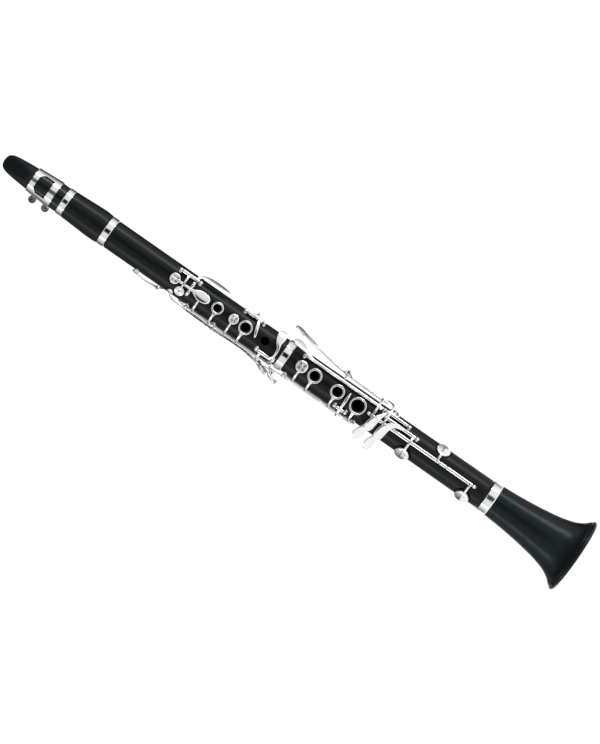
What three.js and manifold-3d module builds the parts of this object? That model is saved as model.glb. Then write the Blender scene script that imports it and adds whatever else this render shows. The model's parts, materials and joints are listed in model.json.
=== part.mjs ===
// B-flat clarinet, millimetres. It stands on its bell: the bore is on +Z, z = 0 is the mouth of the
// bell, and the player's left hand side is +X seen from the front, which faces -Y.
// An angle around the body is counted in degrees from the front (-Y) towards +X.
import * as THREE from "three";
import { mergeVertices } from "three/addons/utils/BufferGeometryUtils.js";
import Module from "manifold-3d";

const wasm = await Module();
wasm.setup();

// Heights of the joints' shoulders above the mouth of the bell
const Z_BELL_TOP = 104.1;
const Z_MIDDLE = 342.8;
const Z_BARREL = 542.4;
const Z_MOUTHPIECE = 599.4;
const Z_TIP = 668.6;

// Body and bore radii
const R_UPPER = 14.7;
const R_LOWER_TOP = 14.7;
const R_LOWER_BOTTOM = 15.5;
const R_BORE = 7.4;
const R_BORE_END = 11;
const R_BELL_RIM = 38.9;

// Tenons: the socket is wider than the tenon, and a cork ring fills a groove in the tenon
const TENON = { long: 16, radius: 10.9, cork: 11.15, groove: 9.9, socket: 11.5 };
const LOWER_TENON = { long: 17, radius: 12.5, cork: 12.75, groove: 11.9, socket: 13.1 };

// Keywork
const GAP = 0.3;
const R_ROD = 0.9;
const R_ROD_HOLE = 1.25;
const R_TUBE = 1.9;
const R_SHORT_TUBE = 1.7;
const R_BALL = 1.9;
const RHO_ROD = 17.6;
const CUP_HEIGHT = 2.9;
const RING_LIFT = 1.0;
const RING_SHIFT = -0.3;

const SILVER = { color: 0xd9dbde, roughness: 0.16, metalness: 1 };
const WOOD = { color: 0x171716, roughness: 0.38, metalness: 0 };
const EBONITE = { color: 0x0b0c0d, roughness: 0.16, metalness: 0 };
const CORK = { color: 0xb98a58, roughness: 0.9, metalness: 0 };
const CANE = { color: 0xd9b56c, roughness: 0.6, metalness: 0 };

// ---------- shapes ----------

const rad = THREE.MathUtils.degToRad;
const vec = (x, y, z) => new THREE.Vector3(x, y, z);
const outward = (angle) => vec(Math.sin(rad(angle)), -Math.cos(rad(angle)), 0);
const at = (z, angle, rho) => outward(angle).multiplyScalar(rho).setZ(z);

function solid(geometry) {
  geometry.deleteAttribute("normal");
  geometry.deleteAttribute("uv");
  const merged = mergeVertices(geometry, 1e-4);
  const triangles = [];
  for (let i = 0; i < merged.index.count; i += 3) {
    const [a, b, c] = [0, 1, 2].map((k) => merged.index.getX(i + k));
    if (a !== b && b !== c && c !== a) triangles.push([a, b, c]);
  }
  const build = (list) =>
    new wasm.Manifold(
      new wasm.Mesh({
        numProp: 3,
        vertProperties: merged.attributes.position.array,
        triVerts: new Uint32Array(list.flat()),
      }),
    );
  const made = build(triangles);
  return made.volume() > 0 ? made : build(triangles.map(([a, b, c]) => [a, c, b]));
}

const join = (...solids) => solids.reduce((all, next) => all.add(next));
const cut = (body, ...tools) => tools.reduce((rest, tool) => rest.subtract(tool), body);

// A bar through stations { p, up, w, h }: its section is w wide and h thick, thick along up.
function loft(stations, sides = 4) {
  const last = stations.length - 1;
  const geometry = new THREE.CylinderGeometry(1, 1, 1, sides, last, false, Math.PI / sides);
  const grow = 0.5 / Math.cos(Math.PI / sides);
  const position = geometry.attributes.position;
  for (let i = 0; i < position.count; i++) {
    const k = Math.round((0.5 - position.getY(i)) * last);
    const { p, up, w, h } = stations[k];
    const before = stations[Math.max(k - 1, 0)].p;
    const along = stations[Math.min(k + 1, last)].p.clone().sub(before).normalize();
    const side = up.clone().cross(along).normalize();
    const rise = along.clone().cross(side);
    const out = p.clone();
    out.addScaledVector(side, position.getX(i) * w * grow);
    out.addScaledVector(rise, position.getZ(i) * h * grow);
    position.setXYZ(i, out.x, out.y, out.z);
  }
  return solid(geometry);
}

// A flat bar that follows the body: rows of [z, angle, rho, width, thickness].
const arm = (rows, sides = 4) =>
  loft(
    rows.map(([z, angle, rho, w, h]) => ({ p: at(z, angle, rho), up: outward(angle), w, h })),
    sides,
  );

// A flat bar whose broad side faces the front: rows of [x, y, z, width, thickness].
const plate = (rows, up = vec(0, -1, 0), sides = 6) =>
  loft(
    rows.map(([x, y, z, w, h]) => ({ p: vec(x, y, z), up, w, h })),
    sides,
  );

function rod(from, to, radius, sides = 6) {
  const along = to.clone().sub(from).normalize();
  const up = Math.abs(along.z) < 0.9 ? vec(0, 0, 1) : vec(1, 0, 0);
  const end = { up, w: 2 * radius, h: 2 * radius };
  return loft([{ p: from, ...end }, { p: to, ...end }], sides);
}

function ball(centre, radius, wide = 6, high = 4) {
  const geometry = new THREE.SphereGeometry(radius, wide, high);
  geometry.translate(centre.x, centre.y, centre.z);
  return solid(geometry);
}

// A turned shape about the bore: outline of [radius, z].
function turned(outline, segments = 16) {
  const points = outline.map(([r, z]) => new THREE.Vector2(r, z));
  return solid(new THREE.LatheGeometry(points, segments).rotateX(Math.PI / 2));
}

// A turned shape that stands on the body at z and angle: outline of [radius, height over rho].
function turnedOn(z, angle, rho, outline, segments = 8, shift = 0) {
  const points = outline.map(([r, h]) => new THREE.Vector2(r, h));
  const geometry = new THREE.LatheGeometry(points, segments);
  const turn = new THREE.Quaternion().setFromUnitVectors(vec(0, 1, 0), outward(angle));
  geometry.applyQuaternion(turn);
  const foot = at(z, angle, rho).add(outward(angle + 90).multiplyScalar(shift));
  geometry.translate(foot.x, foot.y, foot.z);
  return solid(geometry);
}

const box = (x0, x1, y0, y1, z0, z1) =>
  solid(
    new THREE.BoxGeometry(x1 - x0, y1 - y0, z1 - z0).translate(
      (x0 + x1) / 2,
      (y0 + y1) / 2,
      (z0 + z1) / 2,
    ),
  );

// ---------- the body of each joint at a height ----------

const lowerSlope = (R_LOWER_BOTTOM - R_LOWER_TOP) / (Z_BELL_TOP - Z_MIDDLE);
const bodyRadius = (z) =>
  z > Z_MIDDLE ? R_UPPER : R_LOWER_TOP + lowerSlope * (z - Z_MIDDLE);

// A pad seat is a flat floor sunk into the body, wider than its pad by a margin.
const SEAT_MARGIN = 1;
const seatFloor = (seat) => bodyRadius(seat.z) - seat.sink;

const SEATS = {
  throatA: { z: 467.3, angle: 0, pad: 5.5, hole: 2.6, sink: 1.1 },
  throatGs: { z: 457.2, angle: -31, pad: 5.2, hole: 2.4, sink: 1.1 },
  firstVent: { z: 436.7, angle: 0, pad: 4.3, hole: 2.6, sink: 1.4 },
  secondCup: { z: 399, angle: 0, pad: 5.2, hole: 2.8, sink: 1.2 },
  sliverEb: { z: 381.8, angle: 92, pad: 4.4, hole: 2.8, sink: 1.1 },
  csGs: { z: 360, angle: -92, pad: 3.7, hole: 2.4, sink: 1.3 },
  side1: { z: 464.6, angle: -57, pad: 3.2, hole: 1.8, sink: 0.8 },
  side2: { z: 450.5, angle: -104, pad: 3.5, hole: 1.9, sink: 0.9 },
  side3: { z: 421, angle: -127, pad: 3.8, hole: 2.2, sink: 0.9 },
  side4: { z: 405, angle: -139, pad: 4, hole: 2.4, sink: 0.9 },
  stackCup: { z: 319.5, angle: 0, pad: 6.2, hole: 3.2, sink: 1.5 },
  sliverB: { z: 266.4, angle: -97, pad: 4.3, hole: 2.8, sink: 1.2 },
  abEb: { z: 220.9, angle: 65, pad: 5.9, hole: 3.6, sink: 1.3 },
  fsCs: { z: 193.5, angle: -55, pad: 7.8, hole: 5, sink: 2.2 },
  fC: { z: 162.2, angle: 52, pad: 7.5, hole: 5, sink: 2.1 },
  eB: { z: 123, angle: -58, pad: 7.8, hole: 5, sink: 2.2 },
};

// Finger holes: the ones with a ring have a raised rim that the ring drops around.
const FINGER_HOLES = {
  first: { z: 417.6, hole: 2.7, rim: 3.4, ringIn: 4.2, ringOut: 6.1 },
  second: { z: 385.1, hole: 3.6, rim: 4.3, ringIn: 5.2, ringOut: 7.1 },
  third: { z: 362.6, hole: 4 },
  fourth: { z: 304.2, hole: 3.6, rim: 4.3, ringIn: 5.2, ringOut: 7.3 },
  fifth: { z: 277.8, hole: 3.6, rim: 4.3, ringIn: 5.2, ringOut: 7.3 },
  sixth: { z: 254, hole: 4.9, rim: 5.7, ringIn: 6.6, ringOut: 8.6 },
};
const RIM_HEIGHT = 0.6;
const THUMB_HOLE = { z: 425, angle: 180, hole: 3.6, tube: 4.2, ringIn: 5, ringOut: 7 };
const REGISTER_VENT = { z: 502.6, angle: -76, hole: 0.9, tube: 2.2 };

const radialHole = (z, angle, radius, sides = 8) =>
  rod(at(z, angle, 4), at(z, angle, 24), radius, sides);

function boreSeat(body, seat) {
  const floor = rod(
    at(seat.z, seat.angle, seatFloor(seat)),
    at(seat.z, seat.angle, 24),
    seat.pad + SEAT_MARGIN,
    8,
  );
  return cut(body, floor, radialHole(seat.z, seat.angle, seat.hole));
}

function boreFingerHole(body, hole) {
  const rim = hole.rim
    ? rod(at(hole.z, 0, 12), at(hole.z, 0, bodyRadius(hole.z) + RIM_HEIGHT), hole.rim, 12)
    : null;
  return cut(rim ? join(body, rim) : body, radialHole(hole.z, 0, hole.hole));
}

// ---------- joint bodies, rings and corks ----------

// The tenon hangs below z (direction -1) or stands above it (direction 1).
function tenonOutline(z, direction, t, innerRadius) {
  const up = (d) => z + direction * d;
  return [
    [t.radius, up(0)],
    [t.radius, up(3)],
    [t.groove, up(3)],
    [t.groove, up(t.long - 3)],
    [t.radius, up(t.long - 3)],
    [t.radius, up(t.long)],
    [innerRadius, up(t.long)],
  ];
}

function corkRing(z, direction, t) {
  const ends = [z + direction * (3 + GAP), z + direction * (t.long - 3 - GAP)];
  const inner = t.groove + GAP;
  return turned([
    [inner, ends[0]],
    [t.cork, ends[0]],
    [t.cork, ends[1]],
    [inner, ends[1]],
    [inner, ends[0]],
  ]);
}

function ringBand(inner, zLow, zHigh, rLow, rHigh) {
  return turned([
    [inner, zLow],
    [rLow, zLow],
    [rHigh, zHigh],
    [inner, zHigh],
    [inner, zLow],
  ]);
}

function bell() {
  const ringFoot = 94.4;
  const neck = 14.9;
  const throat = 11.2;
  return turned(
    [
      [33.6, 0],
      [37.6, 0],
      [R_BELL_RIM, 1.4],
      [R_BELL_RIM, 2.8],
      [36.9, 5.2],
      [32.6, 9.8],
      [28.6, 16.4],
      [24.7, 28.5],
      [21.4, 46],
      [18.3, 71],
      [16.5, ringFoot - GAP],
      [neck, ringFoot - GAP],
      [neck, Z_BELL_TOP - GAP],
      [LOWER_TENON.socket, Z_BELL_TOP - GAP],
      [LOWER_TENON.socket, Z_BELL_TOP - LOWER_TENON.long - GAP],
      [throat, Z_BELL_TOP - LOWER_TENON.long - GAP],
      [13.6, 66],
      [17.2, 42],
      [21.4, 24],
      [26.6, 10],
      [30.6, 3.5],
      [33.6, 0],
    ],
    24,
  );
}

function lowerJoint() {
  const ringFoot = 334.8;
  const neck = 14.1;
  const outline = [
    ...tenonOutline(Z_BELL_TOP, -1, LOWER_TENON, R_BORE_END).reverse(),
    [R_LOWER_BOTTOM, Z_BELL_TOP],
    [R_LOWER_TOP, ringFoot - GAP],
    [neck, ringFoot - GAP],
    [neck, Z_MIDDLE - GAP],
    [TENON.socket, Z_MIDDLE - GAP],
    [TENON.socket, Z_MIDDLE - TENON.long - GAP],
    [R_BORE, Z_MIDDLE - TENON.long - GAP],
    [R_BORE, 240],
    [8.4, 160],
    [R_BORE_END, Z_BELL_TOP - LOWER_TENON.long],
  ];
  const { stackCup, sliverB, abEb, fsCs, fC, eB } = SEATS;
  const { fourth, fifth, sixth } = FINGER_HOLES;
  const seated = [stackCup, sliverB, abEb, fsCs, fC, eB].reduce(boreSeat, turned(outline));
  return [fourth, fifth, sixth].reduce(boreFingerHole, seated);
}

function upperJoint() {
  const outline = [
    ...tenonOutline(Z_MIDDLE, -1, TENON, R_BORE).reverse(),
    [R_UPPER, Z_MIDDLE],
    [R_UPPER, Z_BARREL - GAP],
    ...tenonOutline(Z_BARREL - GAP, 1, TENON, R_BORE),
    [R_BORE, Z_MIDDLE - TENON.long],
  ];
  const names = ["throatA", "throatGs", "firstVent", "secondCup", "sliverEb", "csGs"];
  names.push("side1", "side2", "side3", "side4");
  const seated = names.map((name) => SEATS[name]).reduce(boreSeat, turned(outline));
  const { first, second, third } = FINGER_HOLES;
  const fingered = [first, second, third].reduce(boreFingerHole, seated);
  return cut(
    fingered,
    radialHole(THUMB_HOLE.z, 180, THUMB_HOLE.tube + GAP, 10),
    radialHole(REGISTER_VENT.z, REGISTER_VENT.angle, REGISTER_VENT.tube + GAP),
  );
}

// A metal tube let into a hole of the upper joint.
const ventTube = ({ z, angle, hole, tube }, inside, outside) =>
  turnedOn(
    z,
    angle,
    inside,
    [
      [hole, 0],
      [tube, 0],
      [tube, outside - inside],
      [hole, outside - inside],
      [hole, 0],
    ],
    10,
  );

const BARREL_RINGS = {
  top: { foot: 592.5, neck: 13.3 },
  bottom: { head: 550.1, neck: 13.6 },
};

function barrel() {
  const { top, bottom } = BARREL_RINGS;
  const lowSocket = Z_BARREL + TENON.long + GAP;
  const highSocket = Z_MOUTHPIECE - TENON.long - 2 * GAP;
  return turned([
    [TENON.socket, Z_BARREL + GAP],
    [bottom.neck, Z_BARREL + GAP],
    [bottom.neck, bottom.head + GAP],
    [15.2, bottom.head + GAP],
    [15.8, 558],
    [15.3, 572],
    [14.3, top.foot - GAP],
    [top.neck, top.foot - GAP],
    [top.neck, Z_MOUTHPIECE - GAP],
    [TENON.socket, Z_MOUTHPIECE - GAP],
    [TENON.socket, highSocket],
    [R_BORE, highSocket],
    [R_BORE, lowSocket],
    [TENON.socket, lowSocket],
    [TENON.socket, Z_BARREL + GAP],
  ]);
}

// ---------- mouthpiece, reed and ligature ----------

const TABLE_Y = 10.2;

function mouthpiece() {
  const low = Z_MOUTHPIECE - TENON.long;
  const shank = turned([
    [R_BORE, low],
    ...tenonOutline(Z_MOUTHPIECE, -1, TENON, TENON.radius).slice(0, 6).reverse(),
    [13.6, Z_MOUTHPIECE],
    [13.6, 609],
    [R_BORE, 609],
    [R_BORE, low],
  ]);
  // [z, centre y, half width, half depth]: a beak that slopes back to a thin rounded tip
  const sections = [
    [606, 0, 13.5, 13.5],
    [620, 0, 12.8, 12.8],
    [634, 0.2, 11.9, 11.9],
    [645, 3.2, 11.1, 9.6],
    [655, 6, 10.2, 6],
    [662, 7.8, 9.1, 3.2],
    [666.4, 8.7, 7.2, 1.6],
    [Z_TIP, 9.1, 4, 0.9],
  ];
  const beak = loft(
    sections.map(([z, y, w, h]) => ({ p: vec(0, y, z), up: vec(0, 1, 0), w: 2 * w, h: 2 * h })),
    14,
  );
  const bore = rod(vec(0, 0, 600), vec(0, 0, 622), R_BORE, 12);
  const chamber = plate(
    [
      [0, 1.5, 615, 9.6, 10],
      [0, 6.6, 640, 9.8, 12],
      [0, 10.6, 663, 10.4, 3],
    ],
    vec(0, 1, 0),
    4,
  );
  const table = box(-15, 15, TABLE_Y, 20, 603, 675);
  return cut(join(shank, beak), bore, chamber, table);
}

const reed = () =>
  cut(
    plate(
      [
        [0, TABLE_Y + GAP, 604, 11.4, 5.6],
        [0, TABLE_Y + GAP, 634, 12.4, 5.2],
        [0, TABLE_Y + GAP, 660, 13, 1.6],
        [0, TABLE_Y + GAP, 667.6, 11.4, 0.9],
      ],
      vec(0, 1, 0),
      12,
    ),
    box(-10, 10, 0, TABLE_Y + GAP, 600, 675),
  );

const LIGATURE = { low: 607.4, high: 634.4, wall: 0.7, windowLow: 614.5, windowHigh: 628.9 };
const LUG = { y0: 14.6, y1: 20.2, x: 1.6, thick: 1.8, half: 2.6 };
const SCREW = { y: 17.9, heights: [626, 611], head: -16.4, headRadius: 4, shank: 1.1 };

function ligature() {
  const { low, high, wall, windowLow, windowHigh } = LIGATURE;
  // half width and half depth follow the taper of the mouthpiece, with room for the reed behind
  const shell = (grow, z0, z1) => {
    const station = (z) => {
      const half = 13.55 - 0.062 * (z - 606) + grow;
      return { p: vec(0, 0.9, z), up: vec(0, 1, 0), w: 2 * half, h: 2 * (half + 0.9) };
    };
    return loft([station(z0), station(z1)], 14);
  };
  const inner = 0.5;
  const band = cut(
    shell(inner + wall, low, high),
    shell(inner, low - 1, high + 1),
    box(-9.8, 9.8, -20, 0, windowLow, windowHigh),
    box(-LUG.x, LUG.x, 5, 20, low - 1, high + 1),
    box(-20, 20, 4, 8, windowLow + 1, windowHigh - 1),
  );
  const lugs = SCREW.heights.flatMap((z) =>
    [-1, 1].map((side) => {
      const edges = [side * LUG.x, side * (LUG.x + LUG.thick)].sort((a, b) => a - b);
      return box(edges[0], edges[1], LUG.y0 - 1, LUG.y1, z - LUG.half, z + LUG.half);
    }),
  );
  const holes = SCREW.heights.map((z) =>
    rod(vec(-8, SCREW.y, z), vec(8, SCREW.y, z), SCREW.shank + 0.4),
  );
  const clearOfReed = plate(
    [
      [0, TABLE_Y + GAP, 600, 12.2, 6.6],
      [0, TABLE_Y + GAP, 640, 13, 6.2],
    ],
    vec(0, 1, 0),
    12,
  );
  return cut(join(band, ...lugs), ...holes, clearOfReed);
}

function ligatureScrew(z) {
  const { y, head, headRadius, shank } = SCREW;
  return join(
    rod(vec(head, y, z), vec(5.4, y, z), shank),
    rod(vec(head + headRadius + 1.6, y, z), vec(-LUG.x - LUG.thick - 2 * GAP, y, z), 1.5),
    rod(vec(head, y - 0.9, z), vec(head, y + 0.9, z), headRadius, 12),
  );
}

// ---------- keywork ----------

// A ball post on a tapered foot that stands on the body.
function post(centre) {
  const angle = THREE.MathUtils.radToDeg(Math.atan2(centre.x, -centre.y));
  const foot = at(centre.z, angle, bodyRadius(centre.z) + GAP);
  const up = vec(0, 0, 1);
  const stem = loft([{ p: foot, up, w: 3.4, h: 3.4 }, { p: centre, up, w: 1.6, h: 1.6 }], 5);
  return join(ball(centre, R_BALL), stem);
}

// Posts and the steel hinge rod that runs through them.
const postsOn = (...centres) =>
  join(
    rod(centres[0], centres[centres.length - 1], R_ROD, 6),
    ...centres.map((centre) => post(centre)),
  );

// A key turns on a tube around its rod: the rod's hole is bored after all its arms are on.
function key(from, to, parts, { radius = R_TUBE, hole = R_ROD_HOLE } = {}) {
  const along = to.clone().sub(from).normalize();
  const bore = rod(
    from.clone().addScaledVector(along, -3),
    to.clone().addScaledVector(along, 3),
    hole,
  );
  return cut(join(rod(from, to, radius), ...parts), bore);
}

// A domed pad cup with its pad: lift is how far it stands open over its seat.
function cup(seat, lift = 0, height = CUP_HEIGHT) {
  const r = seat.pad;
  return turnedOn(seat.z, seat.angle, seatFloor(seat) + GAP + lift, [
    [0, 0],
    [r, 0],
    [r, 0.55 * height],
    [0.72 * r, 0.9 * height],
    [0, height],
  ]);
}

const cupTop = (seat, lift = 0, height = CUP_HEIGHT) =>
  seatFloor(seat) + GAP + lift + height;

const RING_THICK = 1.3;
const ringRho = (z) => bodyRadius(z) + GAP + RING_LIFT;

const ring = (z, angle, inner, outer, shift) =>
  turnedOn(
    z,
    angle,
    ringRho(z),
    [
      [inner, 0],
      [outer, 0],
      [outer, RING_THICK],
      [inner, RING_THICK],
      [inner, 0],
    ],
    10,
    shift,
  );

// The flat arm from a finger ring down to the hinge tube beside the body.
const ringArm = ({ z, ringOut }, hinge) => {
  const start = THREE.MathUtils.radToDeg(Math.atan((ringOut - 0.8) / ringRho(z)));
  return arm([
    [z, -start, ringRho(z) / Math.cos(rad(start)) + 0.5, 3.4, RING_THICK],
    [z, -start - 16, 18.4, 2.4, 1.4],
    [z, hinge + 12, 18.7, 2.4, 1.4],
    [z, hinge, 18.3, 2.6, 1.6],
  ]);
};

const fingerRing = (hole, hinge) => [
  ring(hole.z, 0, hole.ringIn, hole.ringOut, RING_SHIFT),
  ringArm(hole, hinge),
];

// The arm from a cup on the front to a hinge tube beside the body.
const cupArm = (seat, lift, hinge, height = CUP_HEIGHT) =>
  arm([
    [seat.z, seat.angle + 6, cupTop(seat, lift, height) - 0.5, 1.6, 1.4],
    [seat.z, seat.angle - 12, cupTop(seat, lift, height) + 0.1, 2.2, 1.5],
    [seat.z, (seat.angle + hinge) / 2, 18.4, 2.2, 1.5],
    [seat.z, hinge, 18.3, 2.6, 1.6],
  ]);

const UPPER_HINGE = -70;
const LOWER_HINGE = -71;
const onHinge = (z, angle) => at(z, angle, RHO_ROD);

// Points either side of a hinge that lies across the body.
const across = (z, angle, rho, half) => {
  const middle = at(z, angle, rho);
  const side = outward(angle + 90);
  return [-half, half].map((s) => middle.clone().addScaledVector(side, s));
};

const parts = {};
const add = (name, shape, look) => {
  parts[name] = { shape, look };
};

// -- throat A and throat G sharp --

const A_HINGE = { z: 449.3, rho: 18.4, post: 5.9, tube: 3.6 };
const aPosts = across(A_HINGE.z, 0, A_HINGE.rho, A_HINGE.post);
add("posts_throat_a", postsOn(...aPosts), SILVER);
add(
  "throat_a_key",
  key(
    ...across(A_HINGE.z, 0, A_HINGE.rho, A_HINGE.tube),
    [
      cup(SEATS.throatA),
      arm([
        [SEATS.throatA.z - 1, 0, cupTop(SEATS.throatA) - 0.4, 2, 1.4],
        [459.5, 0, 17.3, 2.2, 1.3],
        [A_HINGE.z, 0, 19.6, 2.6, 1.5],
        [445.5, 0, 20.8, 3, 1.4],
      ]),
      arm(
        [
          [446, 0, 20.8, 3, 1.5],
          [441, 0, 21.3, 8.4, 1.7],
          [434, 0, 21.3, 10.2, 1.7],
          [429.5, 0, 21.1, 7.6, 1.5],
          [427, 0, 20.9, 2.6, 1],
        ],
        8,
      ),
    ],
    { radius: 1.6 },
  ),
  SILVER,
);

const GS_HINGE = 36.6;
add("posts_throat_gs", postsOn(onHinge(467.1, GS_HINGE), onHinge(444.6, GS_HINGE)), SILVER);
add(
  "throat_gs_key",
  key(onHinge(464.9, GS_HINGE), onHinge(446.8, GS_HINGE), [
    cup(SEATS.throatGs),
    arm([
      [457.2, -34, cupTop(SEATS.throatGs) - 0.5, 1.8, 1.5],
      [457.2, -20, 18.9, 2, 1.5],
      [457.3, 0, 20.6, 2, 1.5],
      [457.4, 20, 20, 2.2, 1.5],
      [457.4, GS_HINGE, 18.9, 2.4, 1.6],
    ]),
    arm([
      [449.5, GS_HINGE + 2, 18.4, 3, 1.6],
      [447, 50, 19.8, 3.2, 1.6],
      [443, 57, 20.4, 4, 1.6],
    ]),
    arm(
      [
        [445, 56, 20.3, 3.6, 1.6],
        [438, 59, 20.6, 7, 1.6],
        [428, 61, 20.6, 8, 1.6],
        [420, 62, 20.4, 6, 1.5],
        [415.8, 62, 20.2, 2.2, 1],
      ],
      6,
    ),
  ]),
  SILVER,
);

// -- the two ring keys of the upper joint, on one rod --

const U_POSTS = [443.8, 412.6, 346.8];
add("posts_ring_keys", postsOn(...U_POSTS.map((z) => onHinge(z, UPPER_HINGE))), SILVER);
add(
  "first_ring_key",
  key(onHinge(441.6, UPPER_HINGE), onHinge(414.8, UPPER_HINGE), [
    ...fingerRing(FINGER_HOLES.first, UPPER_HINGE),
    cup(SEATS.firstVent, RING_LIFT, 2.5),
    cupArm(SEATS.firstVent, RING_LIFT, UPPER_HINGE, 2.5),
  ]),
  SILVER,
);
add(
  "second_ring_key",
  key(onHinge(410.4, UPPER_HINGE), onHinge(349, UPPER_HINGE), [
    ...fingerRing(FINGER_HOLES.second, UPPER_HINGE),
    cup(SEATS.secondCup, RING_LIFT),
    cupArm(SEATS.secondCup, RING_LIFT, UPPER_HINGE),
    arm([
      [354.5, -72, 18.4, 3, 1.6],
      [352.5, -80, 20.3, 3, 1.3],
      [346, -82, 20.4, 3.2, 1.2],
      [337.5, -82, 20.4, 3.4, 1.2],
    ]),
  ]),
  SILVER,
);

// -- sliver E flat / B flat, and C sharp / G sharp --

const EB_HINGE = 52;
add("posts_sliver_eb", postsOn(onHinge(394, EB_HINGE), onHinge(372.6, EB_HINGE)), SILVER);
add(
  "sliver_eb_key",
  key(onHinge(391.8, EB_HINGE), onHinge(374.8, EB_HINGE), [
    cup(SEATS.sliverEb),
    arm([
      [SEATS.sliverEb.z, 92, cupTop(SEATS.sliverEb) - 0.5, 2, 1.6],
      [SEATS.sliverEb.z, 74, 18.7, 2.2, 1.6],
      [SEATS.sliverEb.z, EB_HINGE, 18.6, 2.6, 1.6],
    ]),
    arm(
      [
        [378.4, EB_HINGE, 18.4, 3, 1.7],
        [377.4, 36, 18.2, 3, 1.6],
        [375.2, 14, 17.7, 3, 1.5],
        [373, -4, 17.3, 2.4, 1.3],
        [372.2, -10, 17.1, 1, 0.8],
      ],
      6,
    ),
  ]),
  SILVER,
);

const CS_HINGE = -40;
add("posts_cs_gs", postsOn(onHinge(364.9, CS_HINGE), onHinge(346, CS_HINGE)), SILVER);
add(
  "cs_gs_key",
  key(onHinge(362.7, CS_HINGE), onHinge(348.2, CS_HINGE), [
    cup(SEATS.csGs, 0, 2.5),
    arm([
      [SEATS.csGs.z, -95, cupTop(SEATS.csGs, 0, 2.5) - 0.5, 2, 1.5],
      [SEATS.csGs.z, -86, 18.6, 2.2, 1.5],
      [SEATS.csGs.z, -76, 20.6, 2.2, 1.3],
      [SEATS.csGs.z, -62, 20.6, 2.2, 1.3],
      [SEATS.csGs.z, -50, 19.4, 2.4, 1.5],
      [SEATS.csGs.z, CS_HINGE, 18.5, 2.6, 1.6],
    ]),
    arm(
      [
        [350.2, CS_HINGE, 18.4, 2.8, 1.7],
        [347.6, -27, 18.7, 2.4, 1.5],
        [347.2, -8, 18.6, 2.6, 1.5],
        [348.4, 8, 18.7, 3.4, 1.5],
        [350.4, 22, 19.2, 7, 1.5],
        [351.2, 37, 19.9, 9.2, 1.5],
        [351.4, 50, 20.8, 8, 1.4],
        [351.4, 58, 21.6, 3, 1],
      ],
      6,
    ),
  ]),
  SILVER,
);

// -- register key and thumb ring, behind --

const REG_HINGE = { z: 477, angle: -122, rho: 18.4, post: 4.8, tube: 2.6 };
const regPosts = across(REG_HINGE.z, REG_HINGE.angle, REG_HINGE.rho, REG_HINGE.post);
add("posts_register", postsOn(...regPosts), SILVER);
add(
  "register_key",
  key(
    ...across(REG_HINGE.z, REG_HINGE.angle, REG_HINGE.rho, REG_HINGE.tube),
    [
      turnedOn(REGISTER_VENT.z, REGISTER_VENT.angle, 16.1, [
        [0, 0],
        [3.4, 0],
        [3.4, 1.4],
        [0, 2.4],
      ]),
      arm([
        [503, -76, 18, 2, 1.3],
        [496, -82, 18.4, 2.2, 1.4],
        [487, -101, 18.6, 2.4, 1.5],
        [REG_HINGE.z, REG_HINGE.angle, 19.6, 2.8, 1.7],
        [468, -144, 20, 2.8, 1.6],
        [458, -165, 20.4, 3.2, 1.6],
        [454, -173, 20.8, 4, 1.6],
      ]),
      arm(
        [
          [456, -170, 20.6, 3.6, 1.7],
          [450, -177, 21.2, 7, 1.8],
          [442, -179, 21.4, 8.2, 1.8],
          [436, -180, 21.2, 5.6, 1.4],
          [434, -180, 21, 2, 1],
        ],
        8,
      ),
    ],
    { radius: 1.6 },
  ),
  SILVER,
);
add("register_vent", ventTube(REGISTER_VENT, 5.8, 15.7), SILVER);
add("thumb_tube", ventTube(THUMB_HOLE, 8, 15.4), SILVER);

const THUMB_HINGE = -146;
add("posts_thumb_ring", postsOn(onHinge(436, THUMB_HINGE), onHinge(414, THUMB_HINGE)), SILVER);
add(
  "thumb_ring_key",
  key(onHinge(433.8, THUMB_HINGE), onHinge(416.2, THUMB_HINGE), [
    ring(THUMB_HOLE.z, 180, THUMB_HOLE.ringIn, THUMB_HOLE.ringOut, 0),
    arm([
      [THUMB_HOLE.z, -159.5, 17.3, 3.6, 1.3],
      [THUMB_HOLE.z, -152, 18, 2.8, 1.5],
      [THUMB_HOLE.z, THUMB_HINGE, 18.3, 2.6, 1.6],
    ]),
  ], { radius: R_SHORT_TUBE }),
  SILVER,
);

// -- four side keys: long levers across short hinges, two to a pair of posts --

const SIDE_PIVOTS = {
  high: { z: 411.3, angle: -101.5, post: 5.4 },
  low: { z: 388, angle: -133.5, post: 5.4 },
};
const RHO_SIDE = 18.9;
for (const [name, { z, angle, post: half }] of Object.entries(SIDE_PIVOTS))
  add("posts_side_" + name, postsOn(...across(z, angle, RHO_SIDE, half)), SILVER);

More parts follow.
